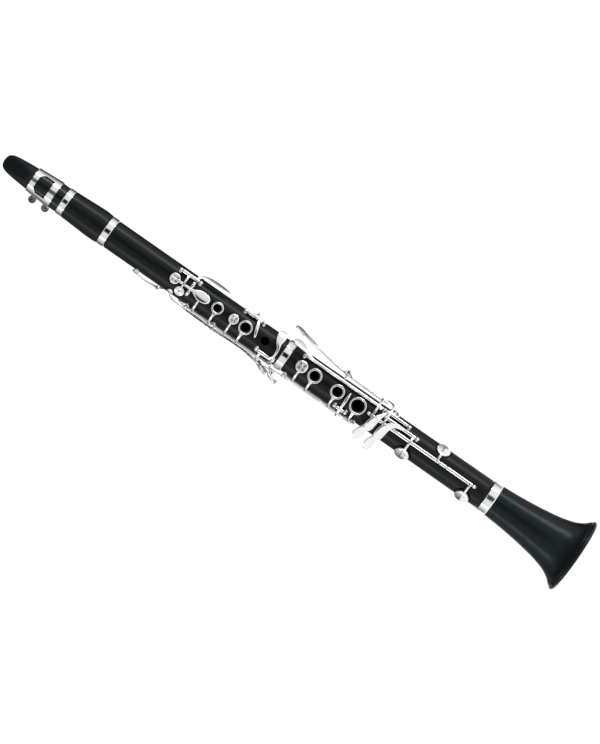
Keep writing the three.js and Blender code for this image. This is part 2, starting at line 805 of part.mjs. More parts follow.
// Rows of [z, angle, rho] for the lever up to its cup, the lever down to its touch, and the touch
const SIDE_TOUCH_WIDTHS = [2.6, 6.2, 7.4, 4];
const SIDE_KEYS = [
  {
    seat: SEATS.side1,
    pivot: "high",
    angle: -96,
    route: [[464.6, -60, 0], [461, -68, 18.4], [454, -88, 18.8], [445, -95.5, 19.6]],
    down: [[372, -96, 20.2], [357, -97, 22.4]],
    touch: [[357, -97, 22.4], [353.5, -98, 24.6], [348, -99, 26.6], [344, -100, 27.6]],
  },
  {
    seat: SEATS.side2,
    pivot: "high",
    angle: -107,
    route: [[450.5, -104, 0], [446, -105, 18.4], [438, -106.5, 19.5]],
    down: [[372, -107, 20.2], [352, -108, 22.6], [343, -105, 24.2]],
    touch: [[343, -105, 24.2], [339.5, -100, 26.4], [334, -99, 28.4], [330.5, -99, 29.2]],
  },
  {
    seat: SEATS.side3,
    pivot: "low",
    angle: -128,
    route: [[421, -127, 0], [416, -127.5, 18.3], [408, -127.8, 19.3]],
    down: [[372, -128, 20.2], [357, -126, 23]],
    touch: [[357, -126, 23], [353.5, -121, 25.4], [348, -119, 27.6], [344, -118, 28.6]],
  },
  {
    seat: SEATS.side4,
    pivot: "low",
    angle: -139,
    route: [[405, -139, 0], [401, -139, 18.3], [396, -139, 19.3]],
    down: [[372, -139, 20.2], [352, -138, 22.6], [343, -131, 25]],
    touch: [[343, -131, 25], [339.5, -123, 27.6], [334, -119, 29.8], [330.5, -118, 30.6]],
  },
];

SIDE_KEYS.forEach(({ seat, pivot, angle, route, down, touch }, index) => {
  const { z } = SIDE_PIVOTS[pivot];
  const mid = SIDE_PIVOTS[pivot].angle;
  const [low, high] = across(z, mid, RHO_SIDE, 1);
  const side = high.clone().sub(low).normalize();
  const middle = at(z, mid, RHO_SIDE);
  const offset = at(z, angle, RHO_SIDE).sub(middle).dot(side);
  const ends = [-1.3, 1.3].map((s) => middle.clone().addScaledVector(side, offset + s));
  const top = cupTop(seat, 0, 2.5) - 0.4;
  const lever = [
    ...route.map(([pz, pa, rho]) => [pz, pa, rho || top, 2.2, 1.3]),
    [z, angle, 20.4, 2.6, 1.4],
    ...down.map(([pz, pa, rho]) => [pz, pa, rho, 2.4, 1.4]),
  ];
  const paddle = touch.map((row, k) => [...row, SIDE_TOUCH_WIDTHS[k], 1.5]);
  const shape = key(...ends, [cup(seat, 0, 2.5), arm(lever), arm(paddle, 6)], { radius: R_SHORT_TUBE });
  add("side_key_" + (index + 1), shape, SILVER);
});

// -- ring stack of the lower joint, with its bridge to the upper joint --

const L_POSTS = [329.2, 249];
add("posts_ring_stack", postsOn(...L_POSTS.map((z) => onHinge(z, LOWER_HINGE))), SILVER);
add(
  "ring_stack_key",
  key(onHinge(327, LOWER_HINGE), onHinge(251.2, LOWER_HINGE), [
    cup(SEATS.stackCup, RING_LIFT, 3.1),
    cupArm(SEATS.stackCup, RING_LIFT, LOWER_HINGE, 3.1),
    ...["fourth", "fifth", "sixth"].flatMap((n) => fingerRing(FINGER_HOLES[n], LOWER_HINGE)),
    arm([
      [322.5, -73, 18.2, 3, 1.6],
      [326.5, -84, 18.5, 3, 1.3],
      [334, -84, 18.6, 3.2, 1.3],
      [343.5, -83, 18.5, 3.4, 1.2],
    ]),
  ]),
  SILVER,
);

const B_HINGE = -46;
add("posts_sliver_b", postsOn(onHinge(272.6, B_HINGE), onHinge(260.4, B_HINGE)), SILVER);
add(
  "sliver_b_key",
  key(
    onHinge(270.4, B_HINGE),
    onHinge(262.6, B_HINGE),
    [
      cup(SEATS.sliverB, 0, 2.6),
      arm([
        [SEATS.sliverB.z, -99, cupTop(SEATS.sliverB, 0, 2.6) - 0.5, 2.2, 1.5],
        [SEATS.sliverB.z, -89, 18.7, 2.2, 1.5],
        [SEATS.sliverB.z, -78, 20.5, 2.2, 1.2],
        [SEATS.sliverB.z, -64, 20.5, 2.2, 1.2],
        [SEATS.sliverB.z, -54, 19.4, 2.4, 1.5],
        [SEATS.sliverB.z, B_HINGE, 18.5, 2.6, 1.6],
      ]),
      arm(
        [
          [266.4, B_HINGE, 18.4, 3, 1.6],
          [266.4, -30, 18.6, 2.6, 1.5],
          [266.4, -5, 17.9, 2.6, 1.5],
          [266.4, 13, 17.7, 2.4, 1.4],
          [266.4, 19, 17.7, 1, 0.9],
        ],
        6,
      ),
    ],
    { radius: R_SHORT_TUBE },
  ),
  SILVER,
);

// -- right little-finger keys: two on short side rods, two on the long centre line --

const AB_HINGE = { angle: 40, rho: 17.7 };
const FS_HINGE = { angle: 20, rho: 17.8 };
const EB_LINE = { angle: 0, rho: 17.9 };
const LINE_POSTS = { top: 241.2, mid: [157.4, 152.6], end: 118.7 };
const onAb = (z) => at(z, AB_HINGE.angle, AB_HINGE.rho);
const onFs = (z) => at(z, FS_HINGE.angle, FS_HINGE.rho);
const onLine = (z) => at(z, EB_LINE.angle, EB_LINE.rho);

add("posts_little_left", postsOn(onAb(322.8), onAb(230.5), onAb(201.7)), SILVER);
add("posts_fs_cs", postsOn(onFs(229), onFs(189.2)), SILVER);

const lineHole = rod(onLine(LINE_POSTS.end + 10), onLine(LINE_POSTS.top - 10), R_ROD_HOLE + 0.2);
add("post_line_top", post(onLine(LINE_POSTS.top)), SILVER);
add("post_line_end", post(onLine(LINE_POSTS.end)), SILVER);
add(
  "posts_line_middle",
  cut(
    join(rod(onLine(151.4), onLine(158.6), 1.8), ...LINE_POSTS.mid.map((z) => post(onLine(z)))),
    lineHole,
  ),
  SILVER,
);

// From a lifted cup over the front to its hinge on the front of the body.
const frontArm = (seat, lift, height, hinge) => {
  const way = Math.sign(seat.angle - hinge.angle);
  return arm([
    [seat.z, seat.angle + 4 * way, cupTop(seat, lift, height) - 0.4, 2.4, 1.5],
    [seat.z, seat.angle - 8 * way, cupTop(seat, lift, height) + 0.3, 2.6, 1.6],
    [seat.z, (seat.angle + hinge.angle) / 2 - 6 * way, 19.4, 2.4, 1.6],
    [seat.z, hinge.angle, 19, 2.6, 1.6],
  ]);
};

const BIG_CUP = 3.6;
const LIFT = 2;

add(
  "ab_eb_key",
  key(onAb(228.3), onAb(203.9), [
    cup(SEATS.abEb),
    arm([
      [SEATS.abEb.z, 69, cupTop(SEATS.abEb) - 0.4, 2.2, 1.5],
      [SEATS.abEb.z, 55, 19, 2.4, 1.6],
      [SEATS.abEb.z, AB_HINGE.angle, 18.7, 2.6, 1.6],
    ]),
    plate([
      [11.6, -15.2, 226.6, 3, 1.6],
      [8.4, -20.2, 228.2, 3, 1.5],
      [2.4, -22.8, 231, 5, 1.6],
      [-3, -23.3, 233.2, 8.6, 1.8],
      [-9, -23.1, 234.6, 9.4, 1.9],
      [-13.6, -22.3, 235.6, 7, 1.7],
      [-15.6, -21.9, 236, 3, 1.2],
    ]),
  ]),
  SILVER,
);
add(
  "fs_cs_key",
  key(onFs(226.8), onFs(191.4), [
    cup(SEATS.fsCs, LIFT, BIG_CUP),
    arm([
      [SEATS.fsCs.z, -58, cupTop(SEATS.fsCs, LIFT, BIG_CUP) - 0.4, 2.4, 1.5],
      [SEATS.fsCs.z, -42, cupTop(SEATS.fsCs, LIFT, BIG_CUP) + 0.8, 2.6, 1.6],
      [SEATS.fsCs.z, -14, 21.6, 2.4, 1.4],
      [SEATS.fsCs.z, 4, 21.6, 2.4, 1.4],
      [SEATS.fsCs.z, FS_HINGE.angle, 19, 2.6, 1.6],
    ]),
    plate([
      [6.2, -18.4, 204, 3, 1.6],
      [5.4, -21, 210, 3.2, 1.6],
      [2.6, -22.9, 216.5, 5, 1.6],
      [-3, -23.4, 220.6, 9, 1.8],
      [-10, -23.1, 222.2, 9.8, 1.9],
      [-15.6, -22, 222.8, 7.4, 1.7],
      [-18, -21.4, 223, 3, 1.2],
    ]),
  ]),
  SILVER,
);
add(
  "f_c_key",
  key(
    onLine(226),
    onLine(159.8),
    [
      cup(SEATS.fC, 0, BIG_CUP),
      frontArm(SEATS.fC, 0, BIG_CUP, EB_LINE),
      plate([
        [0, -18.4, 222.4, 3, 1.6],
        [-8, -18.6, 223, 3, 1.6],
        [-15, -18, 223.8, 5, 1.6],
        [-20.5, -16.6, 224.8, 9, 1.8],
        [-26, -14.2, 225.4, 9.6, 1.9],
        [-30, -11.8, 225.6, 4, 1.3],
      ]),
      plate([
        [0, -19.2, 224.6, 2.4, 1.5],
        [6, -20.4, 224.6, 2.4, 1.4],
        [12.4, -17.6, 224.4, 2.4, 1.4],
      ]),
      arm([
        [224.5, 32, 20.8, 2.4, 1.4],
        [224.5, 48, 21.2, 2.4, 1.4],
        [226, 66, 21.6, 2.4, 1.4],
        [230.5, 80, 21, 2.6, 1.3],
        [233, 84, 20.8, 2.4, 1.2],
      ]),
    ],
    { hole: 1.5 },
  ),
  SILVER,
);
add(
  "e_b_key",
  join(
    rod(onLine(LINE_POSTS.end + R_BALL + GAP), onLine(150.4), R_TUBE),
    rod(onLine(150), onLine(228), 1.05, 6),
    rod(onLine(226.6), onLine(LINE_POSTS.top - R_BALL - GAP), R_TUBE),
    cup(SEATS.eB, LIFT, BIG_CUP),
    frontArm(SEATS.eB, LIFT, BIG_CUP, EB_LINE),
    plate([
      [0, -18.4, 236.4, 3, 1.6],
      [-7, -18.8, 237, 3, 1.6],
      [-13, -18.4, 238, 5, 1.6],
      [-18.5, -17.2, 239, 9, 1.8],
      [-24, -15, 239.6, 9.8, 1.9],
      [-28.2, -12.8, 240, 4, 1.3],
    ]),
    arm([
      [237.6, 0, 19.4, 2.4, 1.5],
      [237.6, 18, 20.6, 2.4, 1.4],
      [237.6, 40, 20.8, 2.4, 1.4],
      [237.6, 62, 20.4, 2.4, 1.4],
      [237.6, 74, 20.2, 2.4, 1.3],
    ]),
  ),
  SILVER,
);

// -- left little-finger levers --

add(
  "lh_fs_cs_lever",
  key(
    onAb(320.6),
    onAb(232.7),
    [
      arm([
        [314, AB_HINGE.angle, 18.2, 2.8, 1.8],
        [319, 41, 20.2, 3.4, 1.7],
        [325, 43, 22.4, 4.4, 1.6],
      ]),
      arm(
        [
          [322, 42, 21.6, 3.4, 1.7],
          [328, 44, 23.2, 7, 1.8],
          [334, 46, 23.8, 8.6, 1.8],
          [338.5, 47, 23.8, 6.4, 1.5],
          [340.4, 47, 23.7, 2.6, 1],
        ],
        8,
      ),
      arm([
        [234.6, AB_HINGE.angle, 18.3, 2.4, 1.4],
        [234.6, 29, 18.6, 2.4, 1.3],
      ]),
    ],
    { radius: R_SHORT_TUBE },
  ),
  SILVER,
);

const LH_PIVOT = { z: 279, angle: 90.5, rho: 22, post: 6.2 };
const lhPosts = across(LH_PIVOT.z, LH_PIVOT.angle, LH_PIVOT.rho, LH_PIVOT.post);
add("posts_lh_levers", postsOn(...lhPosts), SILVER);

const LH_LEVERS = {
  lh_e_b_lever: {
    offset: -2.3,
    angle: 84,
    upper: [[288, 84, 19.6, 2.6], [303, 83, 21.6, 2.8], [316, 80, 24, 3.4]],
    touch: [[314, 80.5, 23.6, 3], [322, 76, 25.4, 6.4], [330, 73, 26.6, 7.6], [336, 71, 27, 3.4]],
    lower: [[266, 84, 18.4, 2.6], [250, 80, 18.3, 2.4], [235.6, 77, 18.2, 2.4]],
  },
  lh_f_c_lever: {
    offset: 2.3,
    angle: 97,
    upper: [[288, 97, 19.6, 2.6], [305, 97, 22, 2.8], [326, 95, 25.6, 3.2]],
    touch: [[324, 95, 25.3, 3], [333, 92, 27, 6.8], [341, 89, 28.4, 8.6], [346, 87, 28.6, 4]],
    lower: [[266, 97, 18.4, 2.6], [246, 93, 18.4, 2.4], [231, 84, 18.4, 2.4]],
  },
};
for (const [name, lever] of Object.entries(LH_LEVERS)) {
  const middle = at(LH_PIVOT.z, LH_PIVOT.angle, LH_PIVOT.rho);
  const side = outward(LH_PIVOT.angle + 90);
  const ends = [-1.9, 1.9].map((s) => middle.clone().addScaledVector(side, lever.offset + s));
  const thick = (rows, h) => rows.map((row) => [...row, h]);
  const saddle = arm([
    [LH_PIVOT.z + 6, lever.angle, 19.4, 2.6, 1.6],
    [LH_PIVOT.z, lever.angle, 21, 2.6, 3],
    [LH_PIVOT.z - 6, lever.angle, 18.9, 2.6, 1.6],
  ]);
  const middleRow = [LH_PIVOT.z, lever.angle, 19, 2.6];
  const beam = arm(thick([...lever.upper.slice().reverse(), middleRow, ...lever.lower], 1.5));
  const touch = arm(thick(lever.touch, 1.6), 6);
  add(name, key(...ends, [saddle, beam, touch], { radius: R_SHORT_TUBE }), SILVER);
}

// -- thumb rest, behind the lower joint --

const THUMB_REST = { low: 283, high: 307, ledge: 286, reach: 29, half: 7, thick: 2.4 };
function thumbRest() {
  const { low, high, ledge, reach, half, thick } = THUMB_REST;
  const foot = bodyRadius(high) + GAP;
  return join(
    box(-6, 6, foot, foot + 2, low, high),
    box(-half, half, foot + 0.5, reach, ledge, ledge + thick),
    box(-half, half, reach - thick, reach, ledge - 5, ledge + 1),
  );
}
add("thumb_rest", thumbRest(), SILVER);

// -- bodies, rings, corks, head --

add("bell", bell(), WOOD);
add("bell_ring", ringBand(15.2, 94.4, Z_BELL_TOP - GAP, 16.7, 16.4), SILVER);
add("lower_joint", lowerJoint(), WOOD);
add("middle_ring", ringBand(14.4, 334.8, Z_MIDDLE - GAP, 16, 16), SILVER);
add("upper_joint", upperJoint(), WOOD);
add("barrel", barrel(), WOOD);
add("barrel_ring_lower", ringBand(13.9, Z_BARREL + GAP, 550.1, 15, 15.3), SILVER);
add("barrel_ring_upper", ringBand(13.6, 592.5, Z_MOUTHPIECE - GAP, 14.4, 14.4), SILVER);
add("cork_bell_tenon", corkRing(Z_BELL_TOP, -1, LOWER_TENON), CORK);
add("cork_middle_tenon", corkRing(Z_MIDDLE, -1, TENON), CORK);
add("cork_barrel_tenon", corkRing(Z_BARREL - GAP, 1, TENON), CORK);
add("cork_mouthpiece", corkRing(Z_MOUTHPIECE, -1, TENON), CORK);
add("mouthpiece", mouthpiece(), EBONITE);
add("reed", reed(), CANE);
add("ligature", ligature(), SILVER);
SCREW.heights.forEach((z, index) => add("ligature_screw_" + (index + 1), ligatureScrew(z), SILVER));

// ---------- scene graph ----------

const clarinet = new THREE.Group();
for (const [name, { shape, look }] of Object.entries(parts)) {
  const made = shape.getMesh();
  const geometry = new THREE.BufferGeometry();
  geometry.setAttribute("position", new THREE.BufferAttribute(made.vertProperties, 3));
  geometry.setIndex(new THREE.BufferAttribute(made.triVerts, 1));
  const mesh = new THREE.Mesh(geometry, new THREE.MeshStandardMaterial(look));
  mesh.name = name;
  clarinet.add(mesh);
}

export default clarinet;
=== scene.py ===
"""B-flat clarinet: the fine surfaces, materials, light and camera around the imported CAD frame.

Shapes are worked out in millimetres in the CAD frame: the bore is on +Z, z = 0 is the mouth of the
bell and the front faces -Y. An angle around the body is in degrees from the front towards +X.
"""

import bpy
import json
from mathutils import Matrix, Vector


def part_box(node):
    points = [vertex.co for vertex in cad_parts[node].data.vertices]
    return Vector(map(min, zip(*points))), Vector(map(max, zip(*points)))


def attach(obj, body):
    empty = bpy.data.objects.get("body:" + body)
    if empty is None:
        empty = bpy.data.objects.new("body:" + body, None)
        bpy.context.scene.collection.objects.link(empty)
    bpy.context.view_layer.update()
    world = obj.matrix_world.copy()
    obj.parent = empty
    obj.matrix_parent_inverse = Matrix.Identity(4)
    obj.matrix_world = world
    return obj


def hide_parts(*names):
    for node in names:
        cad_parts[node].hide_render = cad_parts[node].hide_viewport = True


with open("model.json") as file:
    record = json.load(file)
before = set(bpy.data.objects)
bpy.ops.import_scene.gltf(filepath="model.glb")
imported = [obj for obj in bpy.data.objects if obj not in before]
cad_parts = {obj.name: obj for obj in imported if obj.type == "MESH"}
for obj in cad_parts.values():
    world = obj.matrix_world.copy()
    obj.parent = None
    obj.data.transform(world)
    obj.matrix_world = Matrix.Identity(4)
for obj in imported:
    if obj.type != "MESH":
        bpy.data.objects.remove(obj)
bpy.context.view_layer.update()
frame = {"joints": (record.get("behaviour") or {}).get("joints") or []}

import json
import math

import bmesh
import bpy
from mathutils import Matrix, Vector

# ---------- sizes and places ----------

MM = 0.001
GAP = 0.3


def low(node, axis=2):
    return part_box(node)[0][axis] / MM


def high(node, axis=2):
    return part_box(node)[1][axis] / MM


Z_BELL_TOP = high("bell_ring") + GAP
Z_MIDDLE = high("middle_ring") + GAP
Z_BARREL = low("barrel_ring_lower") - GAP
Z_MOUTHPIECE = high("barrel_ring_upper") + GAP
Z_TIP = high("mouthpiece")

R_UPPER = 14.7
R_LOWER_TOP = 14.7
R_LOWER_BOTTOM = 15.5
R_BORE = 7.4
R_BORE_END = 11
R_BELL_RIM = high("bell", 0)
TENON = {"long": 16, "radius": 10.9, "cork": 11.15, "groove": 9.9, "socket": 11.5}
LOWER_TENON = {"long": 17, "radius": 12.5, "cork": 12.75, "groove": 11.9, "socket": 13.1}

R_ROD = 0.9
R_ROD_HOLE = 1.25
R_TUBE = 1.9
R_SHORT_TUBE = 1.7
R_BALL = 1.9
CUP_HEIGHT = 2.9
SMALL_CUP = 2.5
BIG_CUP = 3.6
RING_LIFT = 1.0
BIG_LIFT = 2.0
RING_SHIFT = -0.3
RING_THICK = 1.3
RIM_HEIGHT = 0.6
RIM_ROOT = 12
SEAT_MARGIN = 1

# Pad seats: height, angle, pad radius, tone hole radius, depth of the seat's floor
SEATS = {
    "throat_a": (467.3, 0, 5.5, 2.6, 1.1),
    "throat_gs": (457.2, -31, 5.2, 2.4, 1.1),
    "first_vent": (436.7, 0, 4.3, 2.6, 1.4),
    "second_cup": (399, 0, 5.2, 2.8, 1.2),
    "sliver_eb": (381.8, 92, 4.4, 2.8, 1.1),
    "cs_gs": (360, -92, 3.7, 2.4, 1.3),
    "side_1": (464.6, -57, 3.2, 1.8, 0.8),
    "side_2": (450.5, -104, 3.5, 1.9, 0.9),
    "side_3": (421, -127, 3.8, 2.2, 0.9),
    "side_4": (405, -139, 4, 2.4, 0.9),
    "stack_cup": (319.5, 0, 6.2, 3.2, 1.5),
    "sliver_b": (266.4, -97, 4.3, 2.8, 1.2),
    "ab_eb": (220.9, 65, 5.9, 3.6, 1.3),
    "fs_cs": (193.5, -55, 7.8, 5, 2.2),
    "f_c": (162.2, 52, 7.5, 5, 2.1),
    "e_b": (123, -58, 7.8, 5, 2.2),
}
UPPER_SEATS = [name for name, seat in SEATS.items() if seat[0] > Z_MIDDLE]
LOWER_SEATS = [name for name, seat in SEATS.items() if seat[0] < Z_MIDDLE]

# Finger holes on the front: height, hole radius, rim radius, inner and outer radius of the ring
FINGER_HOLES = {
    "first": (417.6, 2.7, 3.4, 4.2, 6.1),
    "second": (385.1, 3.6, 4.3, 5.2, 7.1),
    "third": (362.6, 4, 0, 0, 0),
    "fourth": (304.2, 3.6, 4.3, 5.2, 7.3),
    "fifth": (277.8, 3.6, 4.3, 5.2, 7.3),
    "sixth": (254, 4.9, 5.7, 6.6, 8.6),
}
THUMB_HOLE = {"z": 425, "angle": 180, "hole": 3.6, "tube": 4.2, "ring_in": 5, "ring_out": 7}
REGISTER_VENT = {"z": 502.6, "angle": -76, "hole": 0.9, "tube": 2.2}

JOINTS = {joint["name"]: joint for joint in frame["joints"]}


def hinge(joint):
    """The angle and the distance from the bore of a joint's hinge."""
    x, y, _ = JOINTS[joint]["pos_m"]
    return math.degrees(math.atan2(x, -y)), math.hypot(x, y) / MM


def hinge_z(joint):
    return JOINTS[joint]["pos_m"][2] / MM


def body_radius(z):
    if z > Z_MIDDLE:
        return R_UPPER
    share = (z - Z_BELL_TOP) / (Z_MIDDLE - Z_BELL_TOP)
    return R_LOWER_BOTTOM + share * (R_LOWER_TOP - R_LOWER_BOTTOM)


def seat_floor(seat):
    z, _, _, _, sink = SEATS[seat]
    return body_radius(z) - sink


def cup_top(seat, lift=0, height=CUP_HEIGHT):
    return seat_floor(seat) + GAP + lift + height


def outward(angle):
    turn = math.radians(angle)
    return Vector((math.sin(turn), -math.cos(turn), 0))


def at(z, angle, rho):
    point = outward(angle) * rho
    point.z = z
    return point


def across(joint, half, shift=0):
    """The two points beside the middle of a hinge that lies across the body."""
    middle = at(hinge_z(joint), *hinge(joint))
    side = outward(hinge(joint)[0] + 90)
    return [middle + side * (shift - half), middle + side * (shift + half)]


# ---------- shapes: closed meshes in millimetres ----------


def placed(name, data):
    """A new object in the scene."""
    made = bpy.data.objects.new(name, data)
    bpy.context.scene.collection.objects.link(made)
    return made


def shape(points, faces):
    mesh = bpy.data.meshes.new("shape")
    mesh.from_pydata(points, [], faces)
    work = bmesh.new()
    work.from_mesh(mesh)
    bmesh.ops.recalc_face_normals(work, faces=work.faces)
    work.to_mesh(mesh)
    work.free()
    return placed("shape", mesh)


def combine(base, others, operation):
    """Joins (UNION) or cuts (DIFFERENCE) closed shapes."""
    group = bpy.data.collections.new("operands")
    for other in others:
        group.objects.link(other)
    modifier = base.modifiers.new("combine", "BOOLEAN")
    modifier.operation = operation
    modifier.solver = "MANIFOLD"
    modifier.operand_type = "COLLECTION"
    modifier.collection = group
    view = bpy.context.evaluated_depsgraph_get()
    made = bpy.data.meshes.new_from_object(base.evaluated_get(view))
    base.modifiers.clear()
    base.data = made
    for other in others:
        bpy.data.objects.remove(other)
    bpy.data.collections.remove(group)
    return base


def join(shapes):
    return combine(shapes[0], shapes[1:], "UNION") if len(shapes) > 1 else shapes[0]


def cut(body, *tools):
    return combine(body, list(tools), "DIFFERENCE")


def soften(outline, radius, closed=False):
    """The outline with each corner rounded by three points of an arc."""
    count = len(outline)
    out = []
    for i, (r, d) in enumerate(outline):
        here = Vector((r, d))
        if not closed and i in (0, count - 1):
            out.append((r, d))
            continue
        before = Vector(outline[i - 1])
        after = Vector(outline[(i + 1) % count])
        back, on = before - here, after - here
        reach = min(radius, 0.42 * back.length, 0.42 * on.length)
        if reach < 0.02 or abs(back.normalized().dot(on.normalized())) > 0.985:
            out.append((r, d))
            continue
        start, end = here + back.normalized() * reach, here + on.normalized() * reach
        for share in (0, 0.5, 1):
            bend = start.lerp(here, share).lerp(here.lerp(end, share), share)
            out.append((bend.x, bend.y))
    return out


def divide(outline, step):
    """The outline with points added so that no stretch is longer than step."""
    out = [outline[0]]
    for (r0, d0), (r1, d1) in zip(outline, outline[1:]):
        parts = max(1, math.ceil(math.hypot(r1 - r0, d1 - d0) / step))
        out += [(r0 + (r1 - r0) * k / parts, d0 + (d1 - d0) * k / parts) for k in range(1, parts + 1)]
    return out


def turned(start, axis, outline, segments=40):
    """A shape turned about an axis: (radius, distance) points from axis to axis, or a closed loop."""
    axis = axis.normalized()
    seed = Vector((0, 0, 1)) if abs(axis.z) < 0.9 else Vector((1, 0, 0))
    u = axis.cross(seed).normalized()
    v = axis.cross(u)
    loop = outline[0][0] > 0 or outline[-1][0] > 0
    rims = outline[:-1] if loop and outline[0] == outline[-1] else outline
    points, rows = [], []
    for r, d in rims:
        if r <= 0:
            rows.append([len(points)] * segments)
            points.append(start + axis * d)
            continue
        rows.append(list(range(len(points), len(points) + segments)))
        for k in range(segments):
            turn = 2 * math.pi * k / segments
            points.append(start + axis * d + (u * math.cos(turn) + v * math.sin(turn)) * r)
    faces = []
    pairs = list(zip(rows, rows[1:])) + ([(rows[-1], rows[0])] if loop else [])
    for a, b in pairs:
        for k in range(segments):
            n = (k + 1) % segments
            face = list(dict.fromkeys((a[k], a[n], b[n], b[k])))
            if len(face) > 2:
                faces.append(face)
    return shape(points, faces)


UP = Vector((0, 0, 1))
ORIGIN = Vector((0, 0, 0))


def turned_up(outline, segments=160):
    return turned(ORIGIN, UP, outline, segments)


def turned_on(z, angle, rho, outline, segments=48, shift=0):
    """A turned shape that stands on the body."""
    foot = at(z, angle, rho) + outward(angle + 90) * shift
    return turned(foot, outward(angle), outline, segments)


def rod(start, end, radius, segments=24, bevel=0.15):
    long = (end - start).length
    outline = [(0, 0), (radius - bevel, 0), (radius, bevel)]
    outline += [(radius, long - bevel), (radius - bevel, long), (0, long)]
    return turned(start, end - start, outline, segments)


def drill(z, angle, radius, inner=4, outer=26):
    return rod(at(z, angle, inner), at(z, angle, outer), radius, 48, 0.01)


def ball(centre, radius):
    steps = 14
    arc = [math.pi * k / steps for k in range(steps + 1)]
    outline = [(radius * math.sin(t), -radius * math.cos(t)) for t in arc]
    outline[0], outline[-1] = (0, -radius), (0, radius)
    return turned(centre, UP, outline, 28)


def block(x, y, z, bevel=0.4, segments=3):
    """A box between pairs of limits, with rounded edges."""
    work = bmesh.new()
    bmesh.ops.create_cube(work, size=1)
    for vertex in work.verts:
        vertex.co.x = x[0] if vertex.co.x < 0 else x[1]
        vertex.co.y = y[0] if vertex.co.y < 0 else y[1]
        vertex.co.z = z[0] if vertex.co.z < 0 else z[1]
    if bevel:
        bmesh.ops.bevel(work, geom=work.edges, offset=bevel, segments=segments, affect="EDGES", profile=0.5)
    mesh = bpy.data.meshes.new("shape")
    work.to_mesh(mesh)
    work.free()
    return placed("shape", mesh)


def prism(outline, y):
    """A column along Y over an outline of (x, z) points."""
    count = len(outline)
    points = [Vector((px, py, pz)) for py in y for px, pz in outline]
    faces = [tuple(range(count)), tuple(range(count, 2 * count))]
    faces += [(k, (k + 1) % count, count + (k + 1) % count, count + k) for k in range(count)]
    return shape(points, faces)


def resample(rows, place, step):
    """Rows of numbers along a smooth curve through all of the given rows, with their distances."""
    spots = [place(row) for row in rows]
    knots = [0.0]
    for a, b in zip(spots, spots[1:]):
        knots.append(knots[-1] + max((b - a).length, 1e-6))
    last = len(rows) - 1

    def slope(i, c):
        if i == 0 or i == last:
            j = min(i, last - 1)
            return (rows[j + 1][c] - rows[j][c]) / (knots[j + 1] - knots[j])
        back, on = knots[i] - knots[i - 1], knots[i + 1] - knots[i]
        before = (rows[i][c] - rows[i - 1][c]) / back
        after = (rows[i + 1][c] - rows[i][c]) / on
        return (before * on + after * back) / (back + on)

    def value(i, t, c):
        span = knots[i + 1] - knots[i]
        a, b = rows[i][c], rows[i + 1][c]
        m0, m1 = slope(i, c) * span, slope(i + 1, c) * span
        return (
            (2 * t**3 - 3 * t**2 + 1) * a
            + (t**3 - 2 * t**2 + t) * m0
            + (3 * t**2 - 2 * t**3) * b
            + (t**3 - t**2) * m1
        )

    total = knots[-1]
    count = max(4, math.ceil(total / step))
    ends = [total * k / count for k in range(count + 1)]
    fine = 0.5 * min(rows[0][-1], rows[-1][-1])
    for share in (0.06, 0.22, 0.5, 0.8):
        ends += [share * fine, total - share * fine]
    made = []
    for s in sorted({round(e, 4) for e in ends if 0 <= e <= total}):
        i = min(last - 1, max(k for k in range(last + 1) if knots[k] <= s + 1e-9))
        t = (s - knots[i]) / (knots[i + 1] - knots[i])
        made.append((s, [value(i, t, c) for c in range(len(rows[0]))]))
    return made, total


def section(sides, power, flat_below):
    """A rounded outline within one unit: higher powers are squarer, flat_below thins the underside."""
    points = []
    for k in range(sides):
        t = 2 * math.pi * k / sides
        c, s = math.cos(t), math.sin(t)
        u = math.copysign(abs(c) ** (2 / power), c)
        v = math.copysign(abs(s) ** (2 / power), s)
        points.append((u, v if v > 0 else v * flat_below))
    return points


def loft(rows, place, up, outline, step=1.0, round_ends=True):
    """A smooth bar: each row ends with its width and thickness."""
    stations, total = resample(rows, place, step)
    spots = [place(row) for _, row in stations]
    points, count = [], len(outline)
    for i, (s, row) in enumerate(stations):
        w, h = row[-2] / 2, row[-1] / 2
        end = min(s, total - s)
        near = rows[0] if s < total / 2 else rows[-1]
        reach = 0.5 * min(near[-2], near[-1])
        if round_ends and end < reach:
            scale = math.sqrt(max(0.02, 1 - (1 - end / reach) ** 2))
            w, h = w * scale, h * scale
        along = (spots[min(i + 1, len(spots) - 1)] - spots[max(i - 1, 0)]).normalized()
        side = up(row).cross(along).normalized()
        rise = along.cross(side)
        points += [spots[i] + side * (u * w) + rise * (v * h) for u, v in outline]
    faces = [tuple(range(count)), tuple(range(len(points) - count, len(points)))]
    for i in range(len(stations) - 1):
        for k in range(count):
            n = (k + 1) % count
            faces.append((i * count + k, i * count + n, (i + 1) * count + n, (i + 1) * count + k))
    return shape(points, faces)


BAR = section(20, 3.0, 1.0)
TOUCH = section(32, 2.4, 0.75)


def arm(rows, outline=BAR, facing=None):
    """A bar that follows the body: rows of (z, angle, rho, width, thickness)."""

    def up(row):
        return outward(row[1] if facing is None else facing)

    return loft(rows, lambda row: at(*row[:3]), up, outline)


def plate(rows, up=Vector((0, -1, -0.28)), outline=TOUCH):
    """A bar whose broad side faces one way: rows of (x, y, z, width, thickness)."""
    return loft(rows, lambda row: Vector(row[:3]), lambda row: up, outline)


# ---------- materials ----------

RANGE_SOCKETS = ("From Min", "From Max", "To Min", "To Max")


